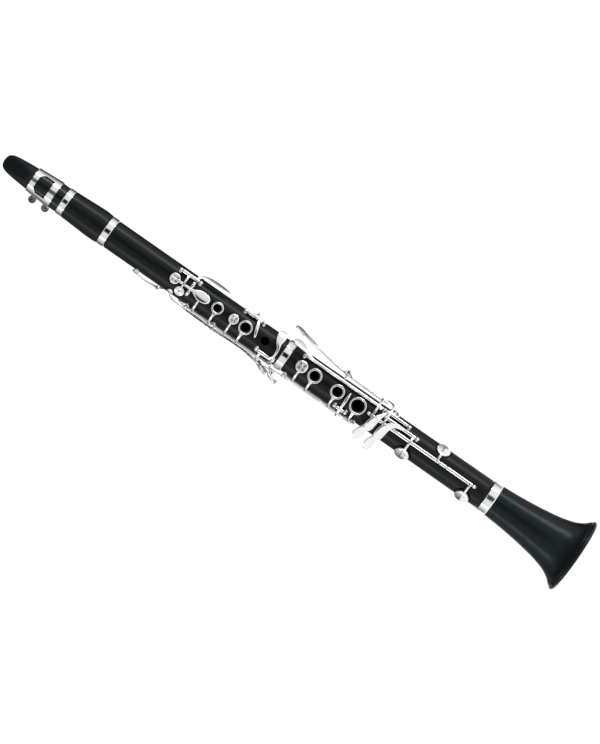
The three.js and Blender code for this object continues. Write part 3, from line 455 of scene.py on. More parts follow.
class Look:
    """A procedural material: a Principled shader with patterns that use the object's own coordinates."""

    def __init__(self, name, color, roughness, metallic=0.0, **sockets):
        self.material = bpy.data.materials.new(name)
        self.material.use_nodes = True
        self.nodes = self.material.node_tree.nodes
        self.links = self.material.node_tree.links
        self.shader = self.nodes["Principled BSDF"]
        self.shader.inputs["Base Color"].default_value = (*color, 1)
        self.shader.inputs["Roughness"].default_value = roughness
        self.shader.inputs["Metallic"].default_value = metallic
        for socket, value in sockets.items():
            self.shader.inputs[socket.replace("_", " ")].default_value = value
        self.height = None

    def space(self, stretch):
        place = self.nodes.new("ShaderNodeTexCoord")
        scale = self.nodes.new("ShaderNodeMapping")
        scale.inputs["Scale"].default_value = stretch
        self.links.new(place.outputs["Object"], scale.inputs["Vector"])
        return scale.outputs["Vector"]

    def noise(self, scale, stretch=(1, 1, 1), detail=6.0, rough=0.55):
        pattern = self.nodes.new("ShaderNodeTexNoise")
        pattern.inputs["Scale"].default_value = scale
        pattern.inputs["Detail"].default_value = detail
        pattern.inputs["Roughness"].default_value = rough
        self.links.new(self.space(stretch), pattern.inputs["Vector"])
        return pattern.outputs["Fac"]

    def cells(self, scale, stretch=(1, 1, 1)):
        pattern = self.nodes.new("ShaderNodeTexVoronoi")
        pattern.inputs["Scale"].default_value = scale
        self.links.new(self.space(stretch), pattern.inputs["Vector"])
        return pattern.outputs["Distance"]

    def spread(self, value, low_at, high_at, low_to, high_to):
        fit = self.nodes.new("ShaderNodeMapRange")
        for socket, number in zip(RANGE_SOCKETS, (low_at, high_at, low_to, high_to)):
            fit.inputs[socket].default_value = number
        self.links.new(value, fit.inputs["Value"])
        return fit.outputs["Result"]

    def tint(self, value, low_at, high_at, *colors):
        ramp = self.nodes.new("ShaderNodeValToRGB")
        stops = ramp.color_ramp.elements
        stops[0].position, stops[1].position = low_at, high_at
        stops[0].color = (*colors[0], 1)
        stops[1].color = (*colors[-1], 1)
        if len(colors) > 2:
            stops.new((low_at + high_at) / 2).color = (*colors[1], 1)
        self.links.new(value, ramp.inputs["Fac"])
        self.links.new(ramp.outputs["Color"], self.shader.inputs["Base Color"])

    def vary_roughness(self, value, low_to, high_to, low_at=0.35, high_at=0.65):
        self.links.new(self.spread(value, low_at, high_at, low_to, high_to), self.shader.inputs["Roughness"])

    def bump(self, value, depth, strength=1.0):
        relief = self.nodes.new("ShaderNodeBump")
        relief.inputs["Strength"].default_value = strength
        relief.inputs["Distance"].default_value = depth * MM
        self.links.new(value, relief.inputs["Height"])
        if self.height:
            self.links.new(self.height, relief.inputs["Normal"])
        self.height = relief.outputs["Normal"]
        self.links.new(self.height, self.shader.inputs["Normal"])


ALONG = (1, 1, 0.05)
COOL = (0.74, 0.96, 1.0, 1)
GREENISH = (0.82, 1.0, 0.95, 1)


def grenadilla():
    look = Look("grenadilla", (0.010, 0.011, 0.010), 0.36, Specular_IOR_Level=0.2, Specular_Tint=GREENISH)
    grain = look.noise(900, ALONG, 8, 0.6)
    browns = [(0.0022, 0.0027, 0.0025), (0.0040, 0.0045, 0.0040), (0.0085, 0.0080, 0.0068)]
    look.tint(grain, 0.36, 0.66, *browns)
    look.vary_roughness(look.noise(1300, ALONG, 5, 0.5), 0.27, 0.38)
    look.bump(look.noise(2600, (1, 1, 0.03), 6, 0.65), 0.02, 0.5)
    look.bump(look.noise(140, (1, 1, 0.3), 2, 0.5), 0.03, 0.3)
    return look.material


def bell_wood():
    look = Look("bell_wood", (0.008, 0.010, 0.0105), 0.32, Specular_IOR_Level=0.24, Specular_Tint=COOL)
    grain = look.noise(820, ALONG, 8, 0.6)
    blacks = [(0.0016, 0.0026, 0.0029), (0.0032, 0.0044, 0.0047), (0.0062, 0.0078, 0.0080)]
    look.tint(grain, 0.36, 0.66, *blacks)
    look.vary_roughness(look.noise(1200, ALONG, 5, 0.5), 0.25, 0.36)
    look.bump(look.noise(2400, (1, 1, 0.03), 6, 0.65), 0.02, 0.5)
    return look.material


def silver(name="silver_plate", shade=0.88, polish=0.10):
    look = Look(name, (shade, shade, shade * 1.01), polish, 1.0)
    wear = look.noise(420, (1, 1, 0.6), 7, 0.6)
    dull = (shade * 0.93, shade * 0.93, shade * 0.92)
    look.tint(wear, 0.3, 0.7, dull, (shade, shade, shade * 1.01))
    look.vary_roughness(look.noise(900, (1, 1, 1), 6, 0.6), polish * 0.7, polish * 1.7)
    look.bump(look.noise(7000, (1, 1, 0.2), 3, 0.5), 0.004, 0.25)
    look.bump(look.noise(160, (1, 1, 1), 2, 0.4), 0.05, 0.12)
    return look.material


def steel(name="steel", shade=0.58):
    look = Look(name, (shade, shade, shade * 1.03), 0.26, 1.0)
    worn = (shade * 0.75, shade * 0.76, shade * 0.79)
    look.tint(look.noise(1200, (1, 1, 1), 5, 0.6), 0.35, 0.65, worn, (shade, shade, shade * 1.02))
    look.vary_roughness(look.noise(2500, (1, 1, 1), 4, 0.5), 0.18, 0.36)
    look.bump(look.noise(6000, (1, 1, 0.3), 3, 0.5), 0.004, 0.4)
    return look.material


def ebonite():
    look = Look("ebonite", (0.006, 0.008, 0.008), 0.20, Specular_IOR_Level=0.3, Specular_Tint=COOL)
    cloud = look.noise(120, (1, 1, 1), 4, 0.5)
    look.tint(cloud, 0.3, 0.7, (0.0030, 0.0042, 0.0042), (0.0060, 0.0080, 0.0078))
    look.vary_roughness(look.noise(700, (1, 1, 1), 6, 0.6), 0.16, 0.27)
    look.bump(look.noise(3500, (1, 1, 1), 3, 0.5), 0.006, 0.3)
    return look.material


def cane():
    look = Look("cane", (0.70, 0.50, 0.22), 0.5)
    fibre = look.noise(2200, (1, 1, 0.02), 8, 0.65)
    look.tint(fibre, 0.3, 0.7, (0.50, 0.30, 0.10), (0.68, 0.47, 0.20), (0.80, 0.62, 0.32))
    look.vary_roughness(fibre, 0.42, 0.62)
    look.bump(fibre, 0.03, 0.6)
    return look.material


def cork():
    look = Look("cork", (0.45, 0.27, 0.14), 0.85)
    grain = look.cells(1500, (1, 1, 0.8))
    look.tint(grain, 0.1, 0.75, (0.22, 0.115, 0.05), (0.44, 0.26, 0.13), (0.56, 0.37, 0.20))
    look.vary_roughness(look.noise(900), 0.75, 0.95)
    look.bump(grain, 0.10, 0.6)
    return look.material


def pad_skin():
    look = Look("pad_skin", (0.82, 0.76, 0.64), 0.5, Coat_Weight=0.1, Coat_Roughness=0.4)
    folds = look.noise(1600, (1, 1, 1), 7, 0.62)
    look.tint(folds, 0.3, 0.7, (0.66, 0.58, 0.44), (0.86, 0.81, 0.70))
    look.vary_roughness(folds, 0.42, 0.62)
    look.bump(look.cells(2600), 0.02, 0.5)
    return look.material


LOOKS = {
    "grenadilla": grenadilla(),
    "bell_wood": bell_wood(),
    "silver_plate": silver(),
    "ring_silver": silver("ring_silver", 0.93, 0.07),
    "post_silver": silver("post_silver", 0.86, 0.13),
    "steel": steel(),
    "dark_steel": steel("dark_steel", 0.2),
    "ebonite": ebonite(),
    "cane": cane(),
    "cork": cork(),
    "pad_skin": pad_skin(),
}


# ---------- pieces ----------


def shade_edges(mesh, angle):
    work = bmesh.new()
    work.from_mesh(mesh)
    bmesh.ops.remove_doubles(work, verts=work.verts, dist=1e-5)
    bmesh.ops.dissolve_degenerate(work, edges=work.edges, dist=1e-5)
    for face in work.faces:
        face.smooth = True
    for edge in work.edges:
        edge.smooth = len(edge.link_faces) == 2 and edge.calc_face_angle(0) < math.radians(angle)
    work.to_mesh(mesh)
    work.free()


def piece(made, name, look, body, node=None, sharp=32):
    """Finishes a shape: metres, shading, material, body and the CAD node it stands for."""
    shade_edges(made.data, sharp)
    made.data.transform(Matrix.Scale(MM, 4))
    made.name = name
    made.data.name = name
    made.data.materials.clear()
    made.data.materials.append(LOOKS[look])
    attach(made, body)
    if node:
        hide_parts(node)
    return made


# ---------- wooden bodies ----------


def tenon(z, way, t, inner):
    """A tenon hangs below z (way -1) or stands above it (way 1), with a groove for its cork."""
    outline = [(t["radius"], 0), (t["radius"], 3), (t["groove"], 3), (t["groove"], t["long"] - 3)]
    outline += [(t["radius"], t["long"] - 3), (t["radius"], t["long"]), (inner, t["long"])]
    return [(r, z + way * d) for r, d in outline]


def seat_tools(names):
    """What cuts the pad seats: a flat floor with a flared wall."""
    tools = []
    for name in names:
        z, angle, pad_radius, _, _ = SEATS[name]
        floor = seat_floor(name)
        wall = pad_radius + SEAT_MARGIN
        outline = [(0, 0), (wall, 0), (wall, 0.6), (wall + 0.5, 3), (wall + 0.9, 9), (0, 9)]
        tools.append(turned_on(z, angle, floor, outline, 64))
    return tools


def tone_hole_rims(names):
    """The raised rim in each seat that the pad closes on."""
    rims = []
    for name in names:
        z, angle, _, hole, _ = SEATS[name]
        outline = [(hole - 0.4, -1), (hole + 1.1, -1), (hole + 0.55, 0.22), (hole, 0.22), (hole - 0.4, -1)]
        rims.append(turned_on(z, angle, seat_floor(name), outline, 48))
    return rims


def finger_rims(names):
    rims = []
    for name in names:
        z, _, rim, _, _ = FINGER_HOLES[name]
        if rim:
            height = body_radius(z) + RIM_HEIGHT - RIM_ROOT
            outline = soften([(0, 0), (rim, 0), (rim, height), (0, height)], 0.3)
            rims.append(turned_on(z, 0, RIM_ROOT, outline, 64))
    return rims


def hole_tools(seats, fingers):
    """Tone holes with a slightly wider mouth."""
    tools = [drill(SEATS[n][0], SEATS[n][1], SEATS[n][3]) for n in seats]
    for name in fingers:
        z, hole, rim, _, _ = FINGER_HOLES[name]
        top = body_radius(z) + (RIM_HEIGHT if rim else 0)
        mouth = hole + 0.45
        outline = [(0, -10), (hole, -10), (hole, -0.7), (mouth, 0.05), (mouth, 8), (0, 8)]
        tools.append(turned_on(z, 0, top, outline, 64))
    return tools


def wooden_body(name, outline, seats, fingers, tubes=()):
    rings = turned_up(divide(soften(outline, 0.35, True), 4))
    body = cut(rings, *seat_tools(seats))
    body = join([body, *tone_hole_rims(seats), *finger_rims(fingers)])
    sockets = [drill(t["z"], t["angle"], t["tube"] + 0.05) for t in tubes]
    body = cut(body, *hole_tools(seats, fingers), *sockets)
    piece(body, name + "_wood", "grenadilla", name, name)


def lower_joint():
    ring_foot, neck = low("middle_ring"), 14.1
    outline = tenon(Z_BELL_TOP, -1, LOWER_TENON, R_BORE_END)[::-1]
    outline += [
        (R_LOWER_BOTTOM, Z_BELL_TOP), (R_LOWER_TOP, ring_foot - GAP), (neck, ring_foot - GAP),
        (neck, Z_MIDDLE - GAP), (TENON["socket"], Z_MIDDLE - GAP),
        (TENON["socket"], Z_MIDDLE - TENON["long"] - GAP), (R_BORE, Z_MIDDLE - TENON["long"] - GAP),
        (R_BORE, 240), (8.4, 160),
    ]
    wooden_body("lower_joint", outline, LOWER_SEATS, ["fourth", "fifth", "sixth"])


def upper_joint():
    outline = tenon(Z_MIDDLE, -1, TENON, R_BORE)[::-1]
    outline += [(R_UPPER, Z_MIDDLE), (R_UPPER, Z_BARREL - GAP)]
    outline += tenon(Z_BARREL - GAP, 1, TENON, R_BORE)
    tubes = (THUMB_HOLE, REGISTER_VENT)
    wooden_body("upper_joint", outline, UPPER_SEATS, ["first", "second", "third"], tubes)


def smooth(rows):
    """(radius, height) points of a smooth outline through rows of (height, radius)."""
    stations, _ = resample(rows, lambda row: Vector((row[1], 0, row[0])), 2.0)
    return [(row[1], row[0]) for _, row in stations]


def bell():
    ring_foot, neck, throat = low("bell_ring"), 14.9, 11.2
    flare = [(5.6, 36.6), (9.8, 32.6), (16.4, 28.6), (28.5, 24.7), (46, 21.4), (71, 18.3)]
    flare.append((ring_foot - GAP, 16.5))
    inside = [(87, throat), (66, 13.6), (42, 17.2), (24, 21.4), (10, 26.6), (3.5, 30.6), (0.4, 33.4)]
    shoulder = Z_BELL_TOP - LOWER_TENON["long"] - GAP
    rim = [(33.6, 0), (37.4, 0), (38.4, 0.5), (R_BELL_RIM, 1.5), (R_BELL_RIM, 2.6), (38.3, 3.6), (37.3, 4.1)]
    groove = [(36.75, 4.25), (36.6, 4.7), (36.9, 5.0)]
    top = [(neck, ring_foot - GAP), (neck, Z_BELL_TOP - GAP), (LOWER_TENON["socket"], Z_BELL_TOP - GAP)]
    top += [(LOWER_TENON["socket"], shoulder), (throat, shoulder)]
    outline = rim + groove + smooth(flare) + top + smooth(inside)
    outline.append(outline[0])
    piece(turned_up(outline, 192), "bell_wood", "bell_wood", "bell", "bell", 40)


def barrel():
    bottom, top = high("barrel_ring_lower"), low("barrel_ring_upper")
    low_socket = Z_BARREL + TENON["long"] + GAP
    high_socket = Z_MOUTHPIECE - TENON["long"] - 2 * GAP
    swell = [(bottom + GAP, 15.2), (554, 15.65), (559, 15.8), (566, 15.6), (574, 15.15), (584, 14.65)]
    swell.append((top - GAP, 14.3))
    low_neck, high_neck = 13.6, 13.3
    outline = [(TENON["socket"], Z_BARREL + GAP), (low_neck, Z_BARREL + GAP)]
    outline += [(low_neck, bottom + GAP), *smooth(swell)]
    outline += [(high_neck, top - GAP), (high_neck, Z_MOUTHPIECE - GAP)]
    outline.append((TENON["socket"], Z_MOUTHPIECE - GAP))
    outline += [(TENON["socket"], high_socket), (R_BORE, high_socket), (R_BORE, low_socket)]
    outline += [(TENON["socket"], low_socket), (TENON["socket"], Z_BARREL + GAP)]
    piece(turned_up(divide(outline, 4)), "barrel_wood", "grenadilla", "barrel", "barrel")


def ring_band(node, body, inner):
    """A metal ring with rounded edges and a fine bead line near each edge."""
    z0, z1 = low(node), high(node)
    r = high(node, 0)
    line = 0.16
    outline = [(inner, z0), (r - 0.2, z0), (r, z0 + 0.2)]
    for z in (z0 + 1.0, z1 - 1.2):
        outline += [(r, z), (r - line, z + 0.1), (r - line, z + 0.22), (r, z + 0.32)]
    outline += [(r, z1 - 0.3), (r - 0.3, z1), (inner, z1), (inner, z0)]
    piece(turned_up(outline, 192), node + "_silver", "ring_silver", body, node, 50)


def cork_ring(node, body, z, way, t):
    ends = sorted([z + way * (3 + GAP), z + way * (t["long"] - 3 - GAP)])
    inner = t["groove"] + 0.02
    outline = [(inner, ends[0]), (t["cork"], ends[0]), (t["cork"], ends[1])]
    outline += [(inner, ends[1]), (inner, ends[0])]
    piece(turned_up(divide(soften(outline, 0.35, False), 1.5), 128), node + "_skin", "cork", body, node)


def bodies():
    lower_joint()
    upper_joint()
    bell()
    barrel()
    ring_band("bell_ring", "bell", 15.0)
    ring_band("middle_ring", "lower_joint", 14.2)
    ring_band("barrel_ring_lower", "barrel", 13.7)
    ring_band("barrel_ring_upper", "barrel", 13.4)
    cork_ring("cork_bell_tenon", "lower_joint", Z_BELL_TOP, -1, LOWER_TENON)
    cork_ring("cork_middle_tenon", "upper_joint", Z_MIDDLE, -1, TENON)
    cork_ring("cork_barrel_tenon", "upper_joint", Z_BARREL - GAP, 1, TENON)
    cork_ring("cork_mouthpiece", "mouthpiece", Z_MOUTHPIECE, -1, TENON)


def vent_tube(node, spec, inside, outside):
    long, hole, tube = outside - inside, spec["hole"], spec["tube"]
    outline = [(hole, 0), (tube, 0), (tube, long), (hole, long), (hole, 0)]
    made = turned_on(spec["z"], spec["angle"], inside, soften(outline, 0.25), 48)
    piece(made, node + "_metal", "silver_plate", "upper_joint", node)


# ---------- mouthpiece, reed and ligature ----------

TO_BACK = Vector((0, 1, 0))
TABLE_Y = 10.2
R_SHOULDER = 13.6
LIGATURE = {"wall": 0.7, "inner": 0.5, "window": (614.5, 628.9)}
TAPER = {"z": 606, "radius": 13.55, "slope": 0.062, "set_back": 0.9}
LUG = {"y": (13.6, 20.2), "x": 1.6, "thick": 1.8, "half": 2.6}
SCREW = {"head": -16.4, "head_radius": 4, "shank": 1.1}


def on_centre(row):
    """A point of the plane that halves the mouthpiece, from a row that starts with (y, z)."""
    return Vector((0, row[0], row[1]))


def mouthpiece():
    foot = Z_MOUTHPIECE - TENON["long"]
    outline = [(R_BORE, foot)] + tenon(Z_MOUTHPIECE, -1, TENON, TENON["radius"])[:6][::-1]
    outline += [(R_SHOULDER, Z_MOUTHPIECE), (R_SHOULDER, 609), (R_BORE, 609)]
    shank = turned_up(divide(soften(outline, 0.3, True), 4), 128)
    rows = [
        (0, 606, 27, 27), (0, 613, 26.4, 26.4), (0, 620, 25.6, 25.6), (0, 627, 24.8, 24.8),
        (0.2, 634, 23.8, 23.6), (1.5, 639.5, 23, 21.6), (3.2, 645, 22.2, 18.4),
        (4.7, 650, 21.3, 14.8), (6, 655, 20.2, 11.2), (7.1, 659, 19.2, 8), (7.8, 662, 17.9, 5.6),
        (8.4, 664.6, 15.8, 3.6), (8.8, 666.8, 12.6, 2.5), (9.1, 668, 9.2, 2),
        (9.2, Z_TIP, 4.6, 1.5),
    ]
    beak = loft(rows, on_centre, lambda row: TO_BACK, section(96, 2.05, 1), 1.2)
    bore = rod(Vector((0, 0, 600)), Vector((0, 0, 622)), R_BORE, 64)
    chamber_rows = [(0, 1.5, 615, 9.6, 10), (0, 6.6, 640, 9.8, 12), (0, 10.6, 663, 10.4, 3)]
    chamber = plate(chamber_rows, TO_BACK, section(40, 5, 1))
    table = block((-15, 15), (TABLE_Y, 20), (603, 675), 0)
    made = cut(join([shank, beak]), bore, chamber, table)
    piece(made, "mouthpiece_ebonite", "ebonite", "mouthpiece", "mouthpiece", 30)


def reed():
    face = TABLE_Y + GAP
    rows = [
        (0, face, 604, 11.4, 5.6), (0, face, 630, 12.2, 5.4), (0, face, 634, 12.4, 5.0),
        (0, face, 640, 12.6, 3.9), (0, face, 650, 12.9, 2.5), (0, face, 660, 13, 1.5),
        (0, face, 665.5, 12.6, 1.0), (0, face, 667.2, 10.8, 0.8), (0, face, 667.9, 8.2, 0.7),
    ]
    blank = plate(rows, TO_BACK, section(64, 2.6, 1))
    made = cut(blank, block((-10, 10), (0, face), (600, 675), 0))
    piece(made, "reed_cane", "cane", "mouthpiece", "reed", 40)


def ligature():
    z0, z1 = low("ligature"), high("ligature")

    def shell(grow, start, end):
        rows = []
        for k in range(5):
            z = start + (end - start) * k / 4
            half = TAPER["radius"] - TAPER["slope"] * (z - TAPER["z"]) + grow
            rows.append((TAPER["set_back"], z, 2 * half, 2 * (half + TAPER["set_back"])))
        return loft(rows, on_centre, lambda row: TO_BACK, section(128, 2.0, 1), 2.0, False)

    inner, wall = LIGATURE["inner"], LIGATURE["wall"]
    window_low, window_high = LIGATURE["window"]
    beads = []
    for z in (z0 + 0.9, z1 - 0.9, window_low - 1.0, window_high + 1.0):
        beads.append(shell(inner + wall + 0.18, z - 0.35, z + 0.35))
    window = [(-9.8, window_low), (9.8, window_low), (9.8, window_high - 4.5)]
    window += [(6.6, window_high), (-6.6, window_high), (-9.8, window_high - 4.5)]
    band = cut(
        join([shell(inner + wall, z0, z1), *beads]),
        shell(inner, z0 - 1, z1 + 1),
        prism(window, (-20, 0)),
        block((-LUG["x"], LUG["x"]), (5, 20), (z0 - 1, z1 + 1), 0),
        block((-20, 20), (4, 8), (window_low + 1, window_high - 1), 0.8),
    )
    lugs, holes = [], []
    for index in (1, 2):
        joint = f"ligature_screw_{index}_turn"
        y, z = JOINTS[joint]["pos_m"][1] / MM, hinge_z(joint)
        holes.append(rod(Vector((-8, y, z)), Vector((8, y, z)), SCREW["shank"] + 0.25))
        for side in (-1, 1):
            edges = sorted([side * LUG["x"], side * (LUG["x"] + LUG["thick"])])
            lugs.append(block(edges, LUG["y"], (z - LUG["half"], z + LUG["half"]), 0.5))
    rows = [(0, TABLE_Y + GAP, 600, 12.2, 6.6), (0, TABLE_Y + GAP, 640, 13, 6.2)]
    clear = plate(rows, TO_BACK, section(64, 2.6, 1))
    made = cut(join([band, *lugs]), *holes, clear)
    piece(made, "ligature_band", "silver_plate", "mouthpiece", "ligature", 40)


def ligature_screw(index):
    """A thumbscrew: threaded shank, collar and a round flat head with dished faces and a milled edge."""
    node = f"ligature_screw_{index}"
    joint = JOINTS[node + "_turn"]
    y, z = joint["pos_m"][1] / MM, joint["pos_m"][2] / MM
    head, r = SCREW["head"], SCREW["head_radius"]
    start = head + r + 1.6
    collar_end = -LUG["x"] - LUG["thick"] - 2 * GAP
    length = collar_end - start
    collar_line = [(0, 0), (1.3, 0), (1.5, 0.2), (1.5, 0.9), (1.15, 1.3), (1.15, length - 1.3)]
    collar_line += [(1.5, length - 0.9), (1.5, length - 0.1), (1.4, length), (0, length)]
    collar = turned(Vector((start, y, z)), Vector((1, 0, 0)), collar_line, 32)
    shank = rod(Vector((head + r - 0.6, y, z)), Vector((5.3, y, z)), SCREW["shank"])
    line = [(0, -0.35), (2.4, -0.45), (3.1, -0.85), (r - 0.25, -0.9), (r, -0.65)]
    line += [(r, 0.65), (r - 0.25, 0.9), (3.1, 0.85), (2.4, 0.45), (0, 0.35)]
    disc = turned(Vector((head, y, z)), TO_BACK, line, 64)
    notches = []
    for k in range(26):
        turn = math.radians(25 + 310 * k / 25)
        spot = Vector((head + r * math.cos(turn), y, z + r * math.sin(turn)))
        notches.append(rod(spot - Vector((0, 1.2, 0)), spot + Vector((0, 1.2, 0)), 0.16, 8, 0.02))
    made = join([cut(disc, *notches), collar, shank])
    piece(made, node + "_steel", "dark_steel", node, node, 35)


# ---------- keywork ----------


def post(centre):
    """A ball post on its turned foot."""
    angle = math.degrees(math.atan2(centre.x, -centre.y))
    rho = math.hypot(centre.x, centre.y)
    foot = body_radius(centre.z) - 0.1
    reach = rho - foot
    outline = [(0, 0), (1.75, 0), (1.85, 0.15), (1.7, 0.4), (1.2, 0.6)]
    outline += [(1.0, min(0.9, reach)), (1.0, reach), (0, reach)]
    return [turned_on(centre.z, angle, foot, outline, 28), ball(centre, R_BALL)]


def slotted_head(centre, way, radius=1.05):
    """The slotted end of a hinge screw, standing a little out of its ball."""
    face = centre + way * (R_BALL + 0.12)
    head = turned(face, -way, [(0, 0), (radius - 0.15, 0), (radius, 0.15), (radius, 1.1), (0, 1.1)], 24)
    side = way.orthogonal().normalized()
    slot = rod(face - side * 2 + way * 0.05, face + side * 2 + way * 0.05, 0.26, 8, 0.01)
    return cut(head, slot)


def posts(node, body, centres, steel_rod=True):
    """Posts with the steel rod through them and its two slotted ends."""
    shapes = []
    for centre in centres:
        shapes += post(centre)
    piece(join(shapes), node + "_silver", "post_silver", body, node, 35)
    if not steel_rod:
        return
    first, last = centres[0], centres[-1]
    way = (first - last).normalized()
    rods = [rod(last, first, R_ROD), slotted_head(first, way), slotted_head(last, -way)]
    piece(join(rods), node + "_rod", "steel", body, None, 35)


def cup(seat, lift=0, height=CUP_HEIGHT):
    """A coned pad cup with a rolled rim, hollow below for its pad."""
    z, angle, r, _, _ = SEATS[seat]
    h = height
    outline = [
        (0, h), (0.06 * r, 0.995 * h), (0.42 * r, 0.89 * h), (0.78 * r, 0.785 * h),
        (0.85 * r, 0.76 * h), (0.93 * r, 0.70 * h), (0.985 * r, 0.58 * h), (r, 0.44 * h),
        (r, 0.27 * h), (r - 0.12, 0.22 * h), (r - 0.38, 0.22 * h), (r - 0.5, 0.3 * h),
        (r - 0.5, 0.55 * h), (0, 0.6 * h),
    ]
    return turned_on(z, angle, seat_floor(seat) + GAP + lift, outline[::-1], 56)


def pad(seat, lift, height, body):
    """A felt pad in its skin: a rounded disc with the ring that the tone hole presses into it."""
    z, angle, r, hole, _ = SEATS[seat]
    edge = r - 0.55
    mark = min(hole + 0.3, edge - 0.9)
    outline = [
        (0, 0.04), (mark - 0.35, 0.03), (mark, 0.12), (mark + 0.35, 0.03), (edge - 0.45, 0.0),
        (edge - 0.12, 0.12), (edge, 0.42), (edge, 0.5 * height), (0, 0.5 * height),
    ]
    made = turned_on(z, angle, seat_floor(seat) + GAP + lift, outline, 56)
    piece(made, seat + "_pad", "pad_skin", body, None, 50)


def key(node, ends, shapes, cups=(), radius=R_TUBE, hole=R_ROD_HOLE):
    """A key: its hinge tube, arms, touches and cups as one soldered piece, with a pad in each cup."""
    start, end = ends
    along = (end - start).normalized()
    tube = rod(start, end, radius, 32, 0.22)
    solids = [tube, *shapes, *[cup(*each) for each in cups]]
    bore = rod(start - along * 3, end + along * 3, hole)
    piece(cut(join(solids), bore), node + "_silver", "silver_plate", node, node, 38)
    for seat, lift, height in cups:
        pad(seat, lift, height, node)


def on_hinge(joint, *heights):
    return [at(z, *hinge(joint)) for z in heights]


def ring(z, angle, inner, outer, shift=0):
    """A finger ring with a rounded section."""
    middle, half = (inner + outer) / 2, (outer - inner) / 2
    outline = []
    for u, v in section(24, 2.1, 1):
        outline.append((middle + half * u, RING_THICK / 2 * (1 + v)))
    outline.append(outline[0])
    return turned_on(z, angle, body_radius(z) + GAP + RING_LIFT, outline, 72, shift)


def ring_arm(hole, joint):
    """The arm flares into the ring at one end and into the hinge tube at the other."""
    z, _, _, _, ring_out = FINGER_HOLES[hole]
    angle = hinge(joint)[0]
    rho = body_radius(z) + GAP + RING_LIFT
    start = math.degrees(math.atan((ring_out - 0.7) / rho))
    return arm([
        (z, -start, rho / math.cos(math.radians(start)) + 0.5, 4.6, RING_THICK),
        (z, -start - 5, 18.1, 3.2, 1.4), (z, -start - 16, 18.4, 2.3, 1.4),
        (z, angle + 12, 18.7, 2.3, 1.4), (z, angle, 18.3, 2.8, 1.6),
    ])


def finger_ring(hole, joint):
    z, _, _, ring_in, ring_out = FINGER_HOLES[hole]
    return [ring(z, 0, ring_in, ring_out, RING_SHIFT), ring_arm(hole, joint)]


def cup_arm(seat, lift, joint, height=CUP_HEIGHT):
    z, angle = SEATS[seat][:2]
    side = hinge(joint)[0]
    top = cup_top(seat, lift, height)
    return arm([
        (z, angle + 7, top - 0.6, 1.0, 1.2), (z, angle, top - 0.1, 1.7, 1.4),
        (z, angle - 12, top + 0.1, 2.2, 1.5), (z, (angle + side) / 2, 18.4, 2.2, 1.5),
        (z, side, 18.3, 2.6, 1.6),
    ])


def needle_spring(name, body, joint, post_z, tip_z, side):
    """A thin spring pinned in its post, lying beside the key's tube."""
    angle, rho = hinge(joint)
    start = at(post_z, angle + side * 3.5, rho - 0.6)
    tip = at(tip_z, angle + side * 7.5, rho - 0.7)
    long = (tip - start).length
    outline = [(0, 0), (0.26, 0), (0.24, 0.5 * long), (0.16, long - 0.1), (0, long)]
    piece(turned(start, tip - start, outline, 12), name + "_spring", "steel", body)


def spring_hook(joint, tip_z, side):
    """The small hook on a key's tube that its needle spring pushes against."""
    angle, rho = hinge(joint)
    near = at(tip_z, angle + side * 4.5, rho - 0.3)
    far = at(tip_z, angle + side * 10, rho - 0.4)
    return rod(near, far, 0.42, 12, 0.1)


def flat_spring(name, body, rows):
    """A leaf spring under a lever."""
    piece(arm(rows, section(16, 5, 1)), name + "_flat_spring", "steel", body)


def cork_bit(name, body, z, angle, rho, size):
    """A glued cork that quiets a stop: size is (radius, thickness)."""
    radius, thick = size
    outline = soften([(0, 0), (radius, 0), (radius, thick), (0, thick)], 0.15)
    piece(turned_on(z, angle, rho, outline, 24), name + "_cork", "cork", body)


